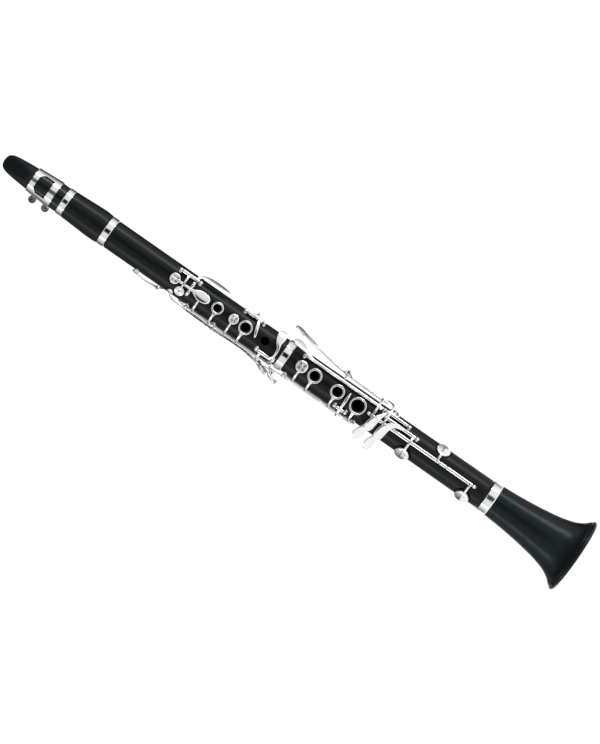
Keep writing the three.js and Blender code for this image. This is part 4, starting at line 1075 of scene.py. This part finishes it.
def throat_keys():
    posts("posts_throat_a", "upper_joint", across("throat_a", 5.9))
    a_z = hinge_z("throat_a")
    z_cup = SEATS["throat_a"][0]
    spine = arm([
        (z_cup + 3, 0, cup_top("throat_a") - 0.65, 0.9, 1),
        (z_cup - 1, 0, cup_top("throat_a") - 0.2, 1.8, 1.4), (459.5, 0, 17.3, 2.2, 1.4),
        (a_z, 0, 19.6, 2.6, 1.5), (445.5, 0, 20.8, 3, 1.4),
    ])
    touch = arm([
        (446.6, 0, 20.7, 2.6, 1.5), (444, 0, 21.1, 5.4, 1.6), (441, 0, 21.3, 8.4, 1.7),
        (437.5, 0, 21.4, 10, 1.8), (434, 0, 21.3, 10.2, 1.8), (431, 0, 21.2, 9, 1.6),
        (428.6, 0, 21.0, 6.4, 1.4), (427, 0, 20.9, 3.2, 1),
    ], TOUCH, 11)
    key("throat_a_key", across("throat_a", 3.6), [spine, touch], [("throat_a", 0, CUP_HEIGHT)], 1.6)
    leaf = [(448, 0, 19.2, 1.8, 0.3), (445, 0, 18.5, 1.8, 0.25), (442.4, 0, 17.6, 1.6, 0.25)]
    flat_spring("throat_a", "throat_a_key", leaf)

    posts("posts_throat_gs", "upper_joint", on_hinge("throat_gs", 467.1, 444.6))
    gs = hinge("throat_gs")[0]
    bar = arm([
        (457.2, -36, cup_top("throat_gs") - 0.6, 1.1, 1.2),
        (457.2, -31, cup_top("throat_gs") - 0.1, 1.8, 1.4), (457.2, -20, 18.9, 2, 1.5),
        (457.3, 0, 20.6, 2, 1.5), (457.4, 20, 20, 2.2, 1.5), (457.4, gs, 18.9, 2.4, 1.6),
    ])
    stem = arm([(449.5, gs + 2, 18.4, 3, 1.6), (447, 50, 19.8, 3.2, 1.6), (443, 57, 20.4, 4, 1.6)])
    touch = arm([
        (445, 56, 20.3, 3.6, 1.6), (438, 59, 20.6, 7, 1.7), (428, 61, 20.6, 8, 1.7),
        (420, 62, 20.4, 6, 1.5), (417.2, 62, 20.3, 4.2, 1.3), (415.8, 62, 20.2, 2.6, 1),
    ], TOUCH)
    shapes = [bar, stem, touch, spring_hook("throat_gs", 455, 1)]
    key("throat_gs_key", on_hinge("throat_gs", 464.9, 446.8), shapes, [("throat_gs", 0, CUP_HEIGHT)])
    needle_spring("throat_gs", "upper_joint", "throat_gs", 467.1, 454, 1)


def upper_ring_keys():
    posts("posts_ring_keys", "upper_joint", on_hinge("first_ring", 443.8, 412.6, 346.8))
    shapes = [*finger_ring("first", "first_ring"), cup_arm("first_vent", RING_LIFT, "first_ring", SMALL_CUP)]
    shapes.append(spring_hook("first_ring", 431, -1))
    cups = [("first_vent", RING_LIFT, SMALL_CUP)]
    key("first_ring_key", on_hinge("first_ring", 441.6, 414.8), shapes, cups)
    needle_spring("first_ring", "upper_joint", "first_ring", 443.8, 430, -1)
    bridge = arm([
        (354.5, -72, 18.4, 3, 1.6), (352.5, -80, 20.3, 3, 1.3), (346, -82, 20.4, 3.2, 1.2),
        (337.5, -82, 20.4, 3.4, 1.2),
    ])
    shapes = [*finger_ring("second", "second_ring"), cup_arm("second_cup", RING_LIFT, "second_ring"), bridge]
    shapes.append(spring_hook("second_ring", 372, -1))
    cups = [("second_cup", RING_LIFT, CUP_HEIGHT)]
    key("second_ring_key", on_hinge("second_ring", 410.4, 349), shapes, cups)
    needle_spring("second_ring", "upper_joint", "second_ring", 346.8, 371, -1)


def upper_small_keys():
    posts("posts_sliver_eb", "upper_joint", on_hinge("sliver_eb", 394, 372.6))
    side = hinge("sliver_eb")[0]
    z_cup = SEATS["sliver_eb"][0]
    to_cup = arm([
        (z_cup, 99, cup_top("sliver_eb") - 0.7, 1.1, 1.2),
        (z_cup, 92, cup_top("sliver_eb") - 0.2, 2, 1.5), (z_cup, 74, 18.7, 2.2, 1.6),
        (z_cup, side, 18.6, 2.6, 1.6),
    ])
    sliver = arm([
        (378.4, side, 18.4, 3, 1.7), (377.4, 36, 18.2, 3.2, 1.7), (376.3, 24, 17.9, 3.4, 1.7),
        (375.2, 14, 17.7, 3.2, 1.6), (373.8, 2, 17.4, 2.6, 1.4), (373, -4, 17.3, 2.2, 1.2),
        (372.2, -10, 17.1, 1.2, 0.8),
    ], TOUCH)
    cups = [("sliver_eb", 0, CUP_HEIGHT)]
    key("sliver_eb_key", on_hinge("sliver_eb", 391.8, 374.8), [to_cup, sliver], cups)
    needle_spring("sliver_eb", "upper_joint", "sliver_eb", 394, 384, -1)

    posts("posts_cs_gs", "upper_joint", on_hinge("cs_gs", 364.9, 346))
    side = hinge("cs_gs")[0]
    z_cup = SEATS["cs_gs"][0]
    top = cup_top("cs_gs", 0, SMALL_CUP)
    to_cup = arm([
        (z_cup, -99, top - 0.7, 1.1, 1.2), (z_cup, -95, top - 0.4, 2, 1.5),
        (z_cup, -86, 18.6, 2.2, 1.5), (z_cup, -76, 20.6, 2.2, 1.3),
        (z_cup, -62, 20.6, 2.2, 1.3), (z_cup, -50, 19.4, 2.4, 1.5),
        (z_cup, side, 18.5, 2.6, 1.6),
    ])
    touch = arm([
        (350.2, side, 18.4, 2.8, 1.7), (347.6, -27, 18.7, 2.4, 1.5),
        (347.2, -8, 18.6, 2.6, 1.5), (348.4, 8, 18.7, 3.4, 1.5), (350.0, 18, 19.0, 5.8, 1.5),
        (350.8, 28, 19.4, 8.2, 1.6), (351.2, 38, 19.9, 9.4, 1.6), (351.4, 48, 20.7, 8.8, 1.5),
        (351.4, 55, 21.3, 5.8, 1.2), (351.4, 58, 21.6, 3, 1),
    ], TOUCH)
    key("cs_gs_key", on_hinge("cs_gs", 362.7, 348.2), [to_cup, touch], [("cs_gs", 0, SMALL_CUP)])


def register_and_thumb():
    posts("posts_register", "upper_joint", across("register", 4.8))
    vent_z, vent_angle = REGISTER_VENT["z"], REGISTER_VENT["angle"]
    z, (angle, _) = hinge_z("register"), hinge("register")
    outline = [(0, 0.7), (2.9, 0.7), (2.9, 0.45), (3.4, 0.45), (3.4, 1.4), (2.6, 1.95), (1.4, 2.3), (0, 2.4)]
    dome = turned_on(vent_z, vent_angle, 16.1, outline, 40)
    lever = arm([
        (505, -74, 17.8, 1, 1), (503, -76, 18, 2, 1.3), (496, -82, 18.4, 2.2, 1.4),
        (487, -101, 18.6, 2.4, 1.5), (z, angle, 19.6, 2.8, 1.7), (468, -144, 20, 2.8, 1.6),
        (458, -165, 20.4, 3.2, 1.6), (454, -173, 20.8, 4, 1.6),
    ])
    touch = arm([
        (456, -170, 20.6, 3.4, 1.6), (450, -177, 21.2, 6.8, 1.8),
        (445.5, -178.5, 21.4, 8.2, 1.9), (441, -179, 21.4, 8, 1.8), (437, -180, 21.2, 6, 1.5),
        (435.2, -180, 21.1, 4, 1.2), (434, -180, 21, 2.2, 1),
    ], TOUCH)
    key("register_key", across("register", 2.6), [dome, lever, touch], (), 1.6)
    felt = turned_on(vent_z, vent_angle, 16.1, soften([(0, 0), (2.85, 0), (2.85, 0.9), (0, 0.9)], 0.3), 40)
    piece(felt, "register_pad", "pad_skin", "register_key")
    leaf = [(475.5, -126, 18.6, 1.8, 0.3), (470, -139, 17.9, 1.8, 0.25), (464, -151, 16.9, 1.6, 0.25)]
    flat_spring("register", "register_key", leaf)
    vent_tube("register_vent", REGISTER_VENT, 5.8, 15.7)
    vent_tube("thumb_tube", THUMB_HOLE, 8, 15.4)

    posts("posts_thumb_ring", "upper_joint", on_hinge("thumb_ring", 436, 414))
    angle = hinge("thumb_ring")[0]
    z = THUMB_HOLE["z"]
    stem = arm([(z, -159.5, 17.3, 3.6, 1.3), (z, -152, 18, 2.8, 1.5), (z, angle, 18.3, 2.6, 1.6)])
    loop = ring(z, 180, THUMB_HOLE["ring_in"], THUMB_HOLE["ring_out"])
    key("thumb_ring_key", on_hinge("thumb_ring", 433.8, 416.2), [loop, stem], (), R_SHORT_TUBE)
    needle_spring("thumb_ring", "upper_joint", "thumb_ring", 436, 427, 1)


# The four side keys: the lever's angle, then rows of (height, angle, distance). The route starts on the
# cup, where a distance of 0 stands for the cup's top.
Z_SIDE_CORK = 372
SIDE_KEYS = {
    "side_1": {
        "angle": -96,
        "route": [(464.6, -60, 0), (461, -68, 18.4), (454, -88, 18.8), (445, -95.5, 19.6)],
        "down": [(372, -96, 20.2), (357, -97, 22.4)],
        "touch": [(357, -97, 22.4), (353.5, -98, 24.6), (348, -99, 26.6), (344, -100, 27.6)],
    },
    "side_2": {
        "angle": -107,
        "route": [(450.5, -104, 0), (446, -105, 18.4), (438, -106.5, 19.5)],
        "down": [(372, -107, 20.2), (352, -108, 22.6), (343, -105, 24.2)],
        "touch": [(343, -105, 24.2), (339.5, -100, 26.4), (334, -99, 28.4), (330.5, -99, 29.2)],
    },
    "side_3": {
        "angle": -128,
        "route": [(421, -127, 0), (416, -127.5, 18.3), (408, -127.8, 19.3)],
        "down": [(372, -128, 20.2), (357, -126, 23)],
        "touch": [(357, -126, 23), (353.5, -121, 25.4), (348, -119, 27.6), (344, -118, 28.6)],
    },
    "side_4": {
        "angle": -139,
        "route": [(405, -139, 0), (401, -139, 18.3), (396, -139, 19.3)],
        "down": [(372, -139, 20.2), (352, -138, 22.6), (343, -131, 25)],
        "touch": [(343, -131, 25), (339.5, -123, 27.6), (334, -119, 29.8), (330.5, -118, 30.6)],
    },
}
SIDE_TOUCH_WIDTHS = (2.6, 6.2, 7.4, 4)


def side_keys():
    posts("posts_side_high", "upper_joint", across("side_1", 5.4))
    posts("posts_side_low", "upper_joint", across("side_3", 5.4))
    for number, (name, spec) in enumerate(SIDE_KEYS.items(), 1):
        z, (_, rho) = hinge_z(name), hinge(name)
        middle = at(z, *hinge(name))
        side = outward(hinge(name)[0] + 90)
        shift = (at(z, spec["angle"], rho) - middle).dot(side)
        top = cup_top(name, 0, SMALL_CUP) - 0.4
        lever = [(pz, pa, p or top, 2.2, 1.3) for pz, pa, p in spec["route"]]
        lever.append((z, spec["angle"], 20.4, 2.6, 1.4))
        lever += [(pz, pa, p, 2.4, 1.4) for pz, pa, p in spec["down"]]
        paddle = [(*row, w, 1.5) for row, w in zip(spec["touch"], SIDE_TOUCH_WIDTHS)]
        node = f"side_key_{number}"
        shapes = [arm(lever), arm(paddle, TOUCH)]
        key(node, across(name, 1.3, shift), shapes, [(name, 0, SMALL_CUP)], R_SHORT_TUBE)
        leaf = [(z - 2, spec["angle"], 19.5, 1.8, 0.3), (z - 9, spec["angle"], 17.4, 1.7, 0.25)]
        leaf.append((z - 15, spec["angle"], 15.6, 1.5, 0.25))
        flat_spring(name, node, leaf)
        cork_bit(name, node, Z_SIDE_CORK, spec["angle"], 17.7, (1.1, 1.9))


def ring_stack():
    posts("posts_ring_stack", "lower_joint", on_hinge("ring_stack", 329.2, 249))
    shapes = [cup_arm("stack_cup", RING_LIFT, "ring_stack", 3.1), spring_hook("ring_stack", 316, -1)]
    for hole in ("fourth", "fifth", "sixth"):
        shapes += finger_ring(hole, "ring_stack")
    bridge = arm([
        (322.5, -73, 18.2, 3, 1.6), (326.5, -84, 18.5, 3, 1.3), (334, -84, 18.6, 3.2, 1.3),
        (343.5, -83, 18.5, 3.4, 1.2),
    ])
    shapes.append(bridge)
    key("ring_stack_key", on_hinge("ring_stack", 327, 251.2), shapes, [("stack_cup", RING_LIFT, 3.1)])
    needle_spring("ring_stack", "lower_joint", "ring_stack", 329.2, 315, -1)


def sliver_b():
    posts("posts_sliver_b", "lower_joint", on_hinge("sliver_b", 272.6, 260.4))
    side = hinge("sliver_b")[0]
    z = SEATS["sliver_b"][0]
    top = cup_top("sliver_b", 0, 2.6)
    to_cup = arm([
        (z, -104, top - 0.7, 1.1, 1.2), (z, -99, top - 0.4, 2.2, 1.5), (z, -89, 18.7, 2.2, 1.5),
        (z, -78, 20.5, 2.2, 1.2), (z, -64, 20.5, 2.2, 1.2), (z, -54, 19.4, 2.4, 1.5),
        (z, side, 18.5, 2.6, 1.6),
    ])
    sliver = arm([
        (z, side, 18.4, 3, 1.6), (z, -30, 18.6, 2.8, 1.6), (z, -16, 18.2, 3.2, 1.6),
        (z, -5, 17.9, 3.0, 1.5), (z, 6, 17.7, 2.4, 1.4), (z, 13, 17.7, 1.8, 1.2),
        (z, 19, 17.7, 1, 0.9),
    ], TOUCH)
    cups = [("sliver_b", 0, 2.6)]
    key("sliver_b_key", on_hinge("sliver_b", 270.4, 262.6), [to_cup, sliver], cups, R_SHORT_TUBE)


LINE_TOP, LINE_MIDDLE, LINE_END = 241.2, (157.4, 152.6), 118.7


def front_arm(seat, lift, joint):
    """From a lifted cup over the front to its hinge."""
    z, angle = SEATS[seat][:2]
    side = hinge(joint)[0]
    way = math.copysign(1, angle - side)
    top = cup_top(seat, lift, BIG_CUP)
    return arm([
        (z, angle + 9 * way, top - 0.9, 1.2, 1.2), (z, angle + 4 * way, top - 0.4, 2.2, 1.5),
        (z, angle - 8 * way, top + 0.3, 2.6, 1.6),
        (z, (angle + side) / 2 - 6 * way, 19.4, 2.4, 1.6), (z, side, 19, 2.6, 1.6),
    ])


def little_finger_posts():
    posts("posts_little_left", "lower_joint", on_hinge("ab_eb", 322.8, 230.5, 201.7))
    posts("posts_fs_cs", "lower_joint", on_hinge("fs_cs", 229, 189.2))
    posts("post_line_top", "lower_joint", on_hinge("e_b", LINE_TOP), False)
    posts("post_line_end", "lower_joint", on_hinge("e_b", LINE_END), False)
    shapes = [rod(*on_hinge("e_b", 151.4, 158.6), 1.8, 32)]
    for centre in on_hinge("e_b", *LINE_MIDDLE):
        shapes += post(centre)
    hole = rod(*on_hinge("e_b", 140, 170), R_ROD_HOLE + 0.2)
    made = cut(join(shapes), hole)
    piece(made, "posts_line_middle_silver", "post_silver", "lower_joint", "posts_line_middle", 35)
    top, end = on_hinge("e_b", LINE_TOP, LINE_END)
    ends = [slotted_head(top, UP), slotted_head(end, -UP)]
    piece(ends[0], "line_top_screw", "steel", "lower_joint")
    piece(ends[1], "line_end_screw", "steel", "lower_joint")


def right_little_keys():
    z = SEATS["ab_eb"][0]
    top = cup_top("ab_eb")
    side = hinge("ab_eb")[0]
    rows = [(z, 74, top - 0.8, 1.2, 1.2), (z, 69, top - 0.4, 2.2, 1.5), (z, 55, 19, 2.4, 1.6)]
    to_cup = arm([*rows, (z, side, 18.7, 2.6, 1.6)])
    touch = plate([
        (11.6, -15.2, 226.6, 3, 1.6), (8.4, -20.2, 228.2, 3, 1.5),
        (5.4, -21.9, 229.6, 3.8, 1.6), (2.4, -22.8, 231, 5.6, 1.7),
        (-3, -23.3, 233.2, 8.8, 1.9), (-9, -23.1, 234.6, 9.6, 2.0),
        (-13.0, -22.4, 235.5, 7.6, 1.8), (-15.0, -22.0, 235.9, 4.6, 1.4),
        (-15.8, -21.9, 236, 2.6, 1.1),
    ])
    shapes = [to_cup, touch, spring_hook("ab_eb", 213, 1)]
    key("ab_eb_key", on_hinge("ab_eb", 228.3, 203.9), shapes, [("ab_eb", 0, CUP_HEIGHT)])
    needle_spring("ab_eb", "lower_joint", "ab_eb", 201.7, 214, 1)

    z = SEATS["fs_cs"][0]
    top = cup_top("fs_cs", BIG_LIFT, BIG_CUP)
    side = hinge("fs_cs")[0]
    to_cup = arm([
        (z, -63, top - 0.9, 1.2, 1.2), (z, -58, top - 0.4, 2.2, 1.5),
        (z, -42, top + 0.8, 2.6, 1.6), (z, -14, 21.6, 2.4, 1.4), (z, 4, 21.6, 2.4, 1.4),
        (z, side, 19, 2.6, 1.6),
    ])
    touch = plate([
        (6.2, -18.4, 204, 3, 1.6), (5.6, -20.8, 209, 3.2, 1.6), (4.6, -22.2, 213.4, 3.8, 1.6),
        (1.6, -23.0, 217.4, 5.8, 1.7), (-3.6, -23.4, 220.8, 9, 1.9),
        (-10, -23.1, 222.2, 9.9, 2.0), (-14.8, -22.2, 222.7, 8.2, 1.8),
        (-17.2, -21.6, 222.9, 4.8, 1.4), (-18.1, -21.4, 223, 2.6, 1.1),
    ])
    key("fs_cs_key", on_hinge("fs_cs", 226.8, 191.4), [to_cup, touch], [("fs_cs", BIG_LIFT, BIG_CUP)])

    touch = plate([
        (0, -18.4, 222.4, 3, 1.6), (-8, -18.6, 223, 3, 1.6), (-12.5, -18.4, 223.4, 3.8, 1.6),
        (-16.5, -17.7, 224.1, 6.4, 1.7), (-20.5, -16.6, 224.8, 9.2, 1.9),
        (-25, -14.7, 225.3, 9.8, 2.0), (-28.4, -12.8, 225.5, 7.2, 1.7),
        (-30.2, -11.7, 225.6, 3.2, 1.2),
    ])
    rows = [(0, -19.2, 224.6, 2.4, 1.5), (6, -20.4, 224.6, 2.4, 1.4), (12.4, -17.6, 224.4, 2.4, 1.4)]
    foot = plate(rows, outline=BAR)
    crow = arm([
        (224.5, 32, 20.8, 2.4, 1.4), (224.5, 48, 21.2, 2.4, 1.4), (226, 66, 21.6, 2.4, 1.4),
        (230.5, 80, 21, 2.6, 1.3), (233, 84, 20.8, 2.4, 1.2),
    ])
    shapes = [front_arm("f_c", 0, "f_c"), touch, foot, crow]
    key("f_c_key", on_hinge("f_c", 226, 159.8), shapes, [("f_c", 0, BIG_CUP)], hole=1.5)

    touch = plate([
        (0, -18.4, 236.4, 3, 1.6), (-7, -18.8, 237, 3, 1.6), (-11, -18.7, 237.6, 3.8, 1.6),
        (-15, -18.1, 238.3, 6.6, 1.7), (-18.8, -17.1, 239, 9.2, 1.9),
        (-23.2, -15.3, 239.5, 10, 2.0), (-26.6, -13.6, 239.9, 7.4, 1.7),
        (-28.4, -12.7, 240, 3.2, 1.2),
    ])
    crow = arm([
        (237.6, 0, 19.4, 2.4, 1.5), (237.6, 18, 20.6, 2.4, 1.4), (237.6, 40, 20.8, 2.4, 1.4),
        (237.6, 62, 20.4, 2.4, 1.4), (237.6, 74, 20.2, 2.4, 1.3),
    ])
    shapes = [
        rod(*on_hinge("e_b", LINE_END + R_BALL + GAP, 150.4), R_TUBE, 32, 0.22),
        rod(*on_hinge("e_b", 150, 228), 1.05),
        rod(*on_hinge("e_b", 226.6, LINE_TOP - R_BALL - GAP), R_TUBE, 32, 0.22),
        cup("e_b", BIG_LIFT, BIG_CUP),
        front_arm("e_b", BIG_LIFT, "e_b"),
        touch,
        crow,
    ]
    piece(join(shapes), "e_b_key_silver", "silver_plate", "e_b_key", "e_b_key", 38)
    pad("e_b", BIG_LIFT, BIG_CUP, "e_b_key")


LEFT_LEVERS = {
    "lh_e_b": {
        "shift": -2.3,
        "angle": 84,
        "facing": 52,
        "upper": [(288, 84, 19.6, 2.6), (303, 83, 21.6, 2.8), (316, 80, 24, 3.4)],
        "touch": [
            (314, 80.5, 23.6, 3), (318, 78.3, 24.6, 4.6), (322, 76, 25.4, 6.4),
            (330, 73, 26.6, 7.8), (334, 71.6, 27, 6), (336, 71, 27, 3.4),
        ],
        "lower": [(266, 84, 18.4, 2.6), (250, 80, 18.3, 2.4), (235.6, 77, 18.2, 2.4)],
    },
    "lh_f_c": {
        "shift": 2.3,
        "angle": 97,
        "facing": 58,
        "upper": [(288, 97, 19.6, 2.6), (305, 97, 22, 2.8), (326, 95, 25.6, 3.2)],
        "touch": [
            (324, 95, 25.3, 3), (328, 93.6, 26.2, 4.8), (333, 92, 27, 7), (341, 89, 28.4, 8.8),
            (344.6, 87.6, 28.6, 6.4), (346.2, 87, 28.6, 3.4),
        ],
        "lower": [(266, 97, 18.4, 2.6), (246, 93, 18.4, 2.4), (231, 84, 18.4, 2.4)],
    },
}


def left_little_levers():
    angle = hinge("lh_fs_cs")[0]
    neck = arm([(314, angle, 18.2, 2.8, 1.8), (319, 41, 20.2, 3.4, 1.7), (325, 43, 22.4, 4.4, 1.6)])
    touch = arm([
        (322, 42, 21.6, 3.4, 1.6), (325, 43, 22.5, 5.2, 1.8), (329, 44.4, 23.3, 7.6, 1.9),
        (333.5, 45.8, 23.8, 8.8, 1.9), (337, 46.7, 23.8, 7.4, 1.7), (339.4, 47, 23.7, 4.6, 1.3),
        (340.4, 47, 23.7, 2.6, 1),
    ], TOUCH)
    foot = arm([(234.6, angle, 18.3, 2.4, 1.4), (234.6, 29, 18.6, 2.4, 1.3)])
    key("lh_fs_cs_lever", on_hinge("lh_fs_cs", 320.6, 232.7), [neck, touch, foot], (), R_SHORT_TUBE)

    posts("posts_lh_levers", "lower_joint", across("lh_e_b", 6.2))
    for name, spec in LEFT_LEVERS.items():
        z = hinge_z(name)
        saddle = arm([
            (z + 6, spec["angle"], 19.4, 2.6, 1.6), (z, spec["angle"], 21, 2.6, 3),
            (z - 6, spec["angle"], 18.9, 2.6, 1.6),
        ])
        route = spec["upper"][::-1] + [(z, spec["angle"], 19, 2.6)] + spec["lower"]
        beam = arm([(*row, 1.5) for row in route])
        paddle = arm([(*row, 1.7) for row in spec["touch"]], TOUCH, spec["facing"])
        key(name + "_lever", across(name, 1.9, spec["shift"]), [saddle, beam, paddle], (), R_SHORT_TUBE)


def thumb_rest():
    """The thumb rest: a screwed plate, a ledge and a turned-down lip, joined with rounded edges."""
    foot = body_radius(296) + 0.1
    reach = high("thumb_rest", 1)
    ledge = 286
    shapes = [
        block((-6, 6), (foot, foot + 2), (283, 307), 0.9, 4),
        block((-7, 7), (foot + 0.5, reach), (ledge, ledge + 2.4), 1.0, 4),
        block((-7, 7), (reach - 2.4, reach), (ledge - 5, ledge + 1.4), 1.0, 4),
    ]
    rib = [(0, foot + 1.6, 303, 3.2, 1.4), (0, foot + 2.6, 294, 3.0, 2.2), (0, foot + 5.0, 289.6, 2.6, 2.4)]
    shapes.append(plate(rib, TO_BACK, BAR))
    piece(join(shapes), "thumb_rest_silver", "silver_plate", "lower_joint", "thumb_rest", 35)
    for index, (x, z) in enumerate(((-3.6, 303.6), (3.6, 303.6), (0, 284.6)), 1):
        face = Vector((x, foot + 2.35, z))
        head = turned(face, Vector((0, -1, 0)), [(0, 0), (0.9, 0.05), (1.5, 0.4), (1.5, 1), (0, 1)], 24)
        slot = rod(face + Vector((-2, 0.1, 0)), face + Vector((2, 0.1, 0)), 0.28, 8, 0.01)
        piece(cut(head, slot), f"thumb_rest_screw_{index}", "steel", "lower_joint")


def keywork():
    throat_keys()
    upper_ring_keys()
    upper_small_keys()
    register_and_thumb()
    side_keys()
    ring_stack()
    sliver_b()
    little_finger_posts()
    right_little_keys()
    left_little_levers()
    thumb_rest()


# ---------- studio ----------

CAMERA_AT = Vector((-0.0052, -3.08, 0.318))
CAMERA_RIGHT = Vector((0.572, 0, -0.820))
CAMERA_UP = Vector((0.820, 0, 0.572))
LENS = 155
LIT_HEIGHT = 0.33


def camera():
    lens = bpy.data.cameras.new("camera")
    lens.sensor_fit = "VERTICAL"
    lens.sensor_height = 36
    lens.lens = LENS
    lens.clip_end = 50
    made = placed("camera", lens)
    right, up = CAMERA_RIGHT.normalized(), CAMERA_UP.normalized()
    back = right.cross(up)
    turn = Matrix((right, up, back)).transposed().to_4x4()
    made.matrix_world = Matrix.Translation(CAMERA_AT) @ turn
    bpy.context.scene.camera = made


def softbox(name, angle, distance, height, size, power):
    light = bpy.data.lights.new(name, "AREA")
    light.shape = "RECTANGLE"
    light.size, light.size_y = size
    light.energy = power
    made = placed(name, light)
    spot = outward(angle) * distance
    spot.z = height
    made.location = spot
    made.rotation_euler = (Vector((0, 0, LIT_HEIGHT)) - spot).to_track_quat("-Z", "Y").to_euler()


FLOOR = {"front": -1.0, "back": 6.0, "top": 2.4, "half": 0.75, "widen": 0.14, "sunk": 0.0002}


def white_floor():
    """A pale floor that widens away from the camera and rises into a wall behind the clarinet."""
    front, back = FLOOR["front"], FLOOR["back"]
    curve = [(back + math.sin(t), 1 - math.cos(t)) for t in (0.3, 0.6, 0.9, 1.2, 1.57)]
    depth = [(front, 0), (back, 0), *curve, (back + 1, FLOOR["top"])]
    work = bmesh.new()
    rows = []
    for y, z in depth:
        half = FLOOR["half"] + FLOOR["widen"] * (y - front)
        rows.append([work.verts.new((x, y, z - FLOOR["sunk"])) for x in (-half, half)])
    for a, b in zip(rows, rows[1:]):
        work.faces.new((a[0], a[1], b[1], b[0]))
    mesh = bpy.data.meshes.new("studio_floor")
    work.to_mesh(mesh)
    work.free()
    for face in mesh.polygons:
        face.use_smooth = True
    look = Look("studio_white", (0.25, 0.25, 0.25), 0.9)
    look.shader.inputs["Emission Color"].default_value = (1, 1, 1, 1)
    look.shader.inputs["Emission Strength"].default_value = 0.92
    mesh.materials.append(look.material)
    placed("studio_floor", mesh)


# How bright the studio is all round, by the angle from the front towards +X
SURROUNDINGS = (
    (-180, 0.04),
    (-162, 0.04), (-148, 0.40), (-134, 0.08), (-112, 0.42), (-92, 0.86), (-40, 0.88), (0, 0.88),
    (40, 0.96), (92, 1.00), (112, 0.55), (134, 0.06), (180, 0.04),
)
STRIP_SIDE = (0.17, 0.36)
STRIP_RISE = (0.2, 0.36)
BEHIND = (-0.5, -0.2)
ZENITH = (0.5, 0.9)
ZENITH_SHARE = 0.25
STRENGTH, LEAST = 0.9, 0.015


def studio_world():
    """Pale surroundings, dim behind, with a dark strip in front for the metal to reflect."""
    world = bpy.data.worlds.new("studio")
    bpy.context.scene.world = world
    world.use_nodes = True
    nodes, links = world.node_tree.nodes, world.node_tree.links

    def math_node(operation, first, second=None):
        made = nodes.new("ShaderNodeMath")
        made.operation = operation
        for socket, value in zip(made.inputs, (first, second)):
            if isinstance(value, (int, float)):
                socket.default_value = value
            elif value:
                links.new(value, socket)
        return made.outputs["Value"]

    def map_range(value, low_at, high_at, low_to, high_to):
        made = nodes.new("ShaderNodeMapRange")
        made.interpolation_type = "SMOOTHSTEP"
        for socket, number in zip(RANGE_SOCKETS, (low_at, high_at, low_to, high_to)):
            made.inputs[socket].default_value = number
        links.new(value, made.inputs["Value"])
        return made.outputs["Result"]

    place = nodes.new("ShaderNodeTexCoord")
    axes = nodes.new("ShaderNodeSeparateXYZ")
    links.new(place.outputs["Generated"], axes.inputs["Vector"])
    x, y, z = (axes.outputs[name] for name in "XYZ")
    angle = math_node("ARCTAN2", x, math_node("MULTIPLY", y, -1))
    share = math_node("ADD", math_node("DIVIDE", angle, 2 * math.pi), 0.5)
    ramp = nodes.new("ShaderNodeValToRGB")
    ramp.color_ramp.interpolation = "EASE"
    stops = ramp.color_ramp.elements
    for index, (degrees, level) in enumerate(SURROUNDINGS):
        position = (degrees + 180) / 360
        stop = stops[index] if index < 2 else stops.new(position)
        stop.position = position
        stop.color = (level, level, level, 1)
    links.new(share, ramp.inputs["Fac"])
    aside = map_range(math_node("ABSOLUTE", x), *STRIP_SIDE, 0, 1)
    behind = map_range(y, *BEHIND, 0, 1)
    raised = map_range(math_node("ABSOLUTE", z), *STRIP_RISE, 0, 1)
    open_share = math_node("MAXIMUM", math_node("MAXIMUM", aside, raised), behind)
    level = math_node("MULTIPLY", map_range(z, *ZENITH, 1, ZENITH_SHARE), open_share)
    strength = math_node("ADD", math_node("MULTIPLY", level, STRENGTH), LEAST)
    links.new(ramp.outputs["Color"], nodes["Background"].inputs["Color"])
    links.new(strength, nodes["Background"].inputs["Strength"])


def studio():
    studio_world()
    white_floor()
    softbox("upper_light", 66, 1.6, 0.45, (0.34, 1.5), 12)
    softbox("lower_light", -70, 1.6, 0.3, (0.2, 1.4), 5)
    bpy.context.scene.view_settings.view_transform = "Standard"


# ---------- scene ----------

camera()
bodies()
mouthpiece()
reed()
ligature()
for number in (1, 2):
    ligature_screw(number)
keywork()
studio()
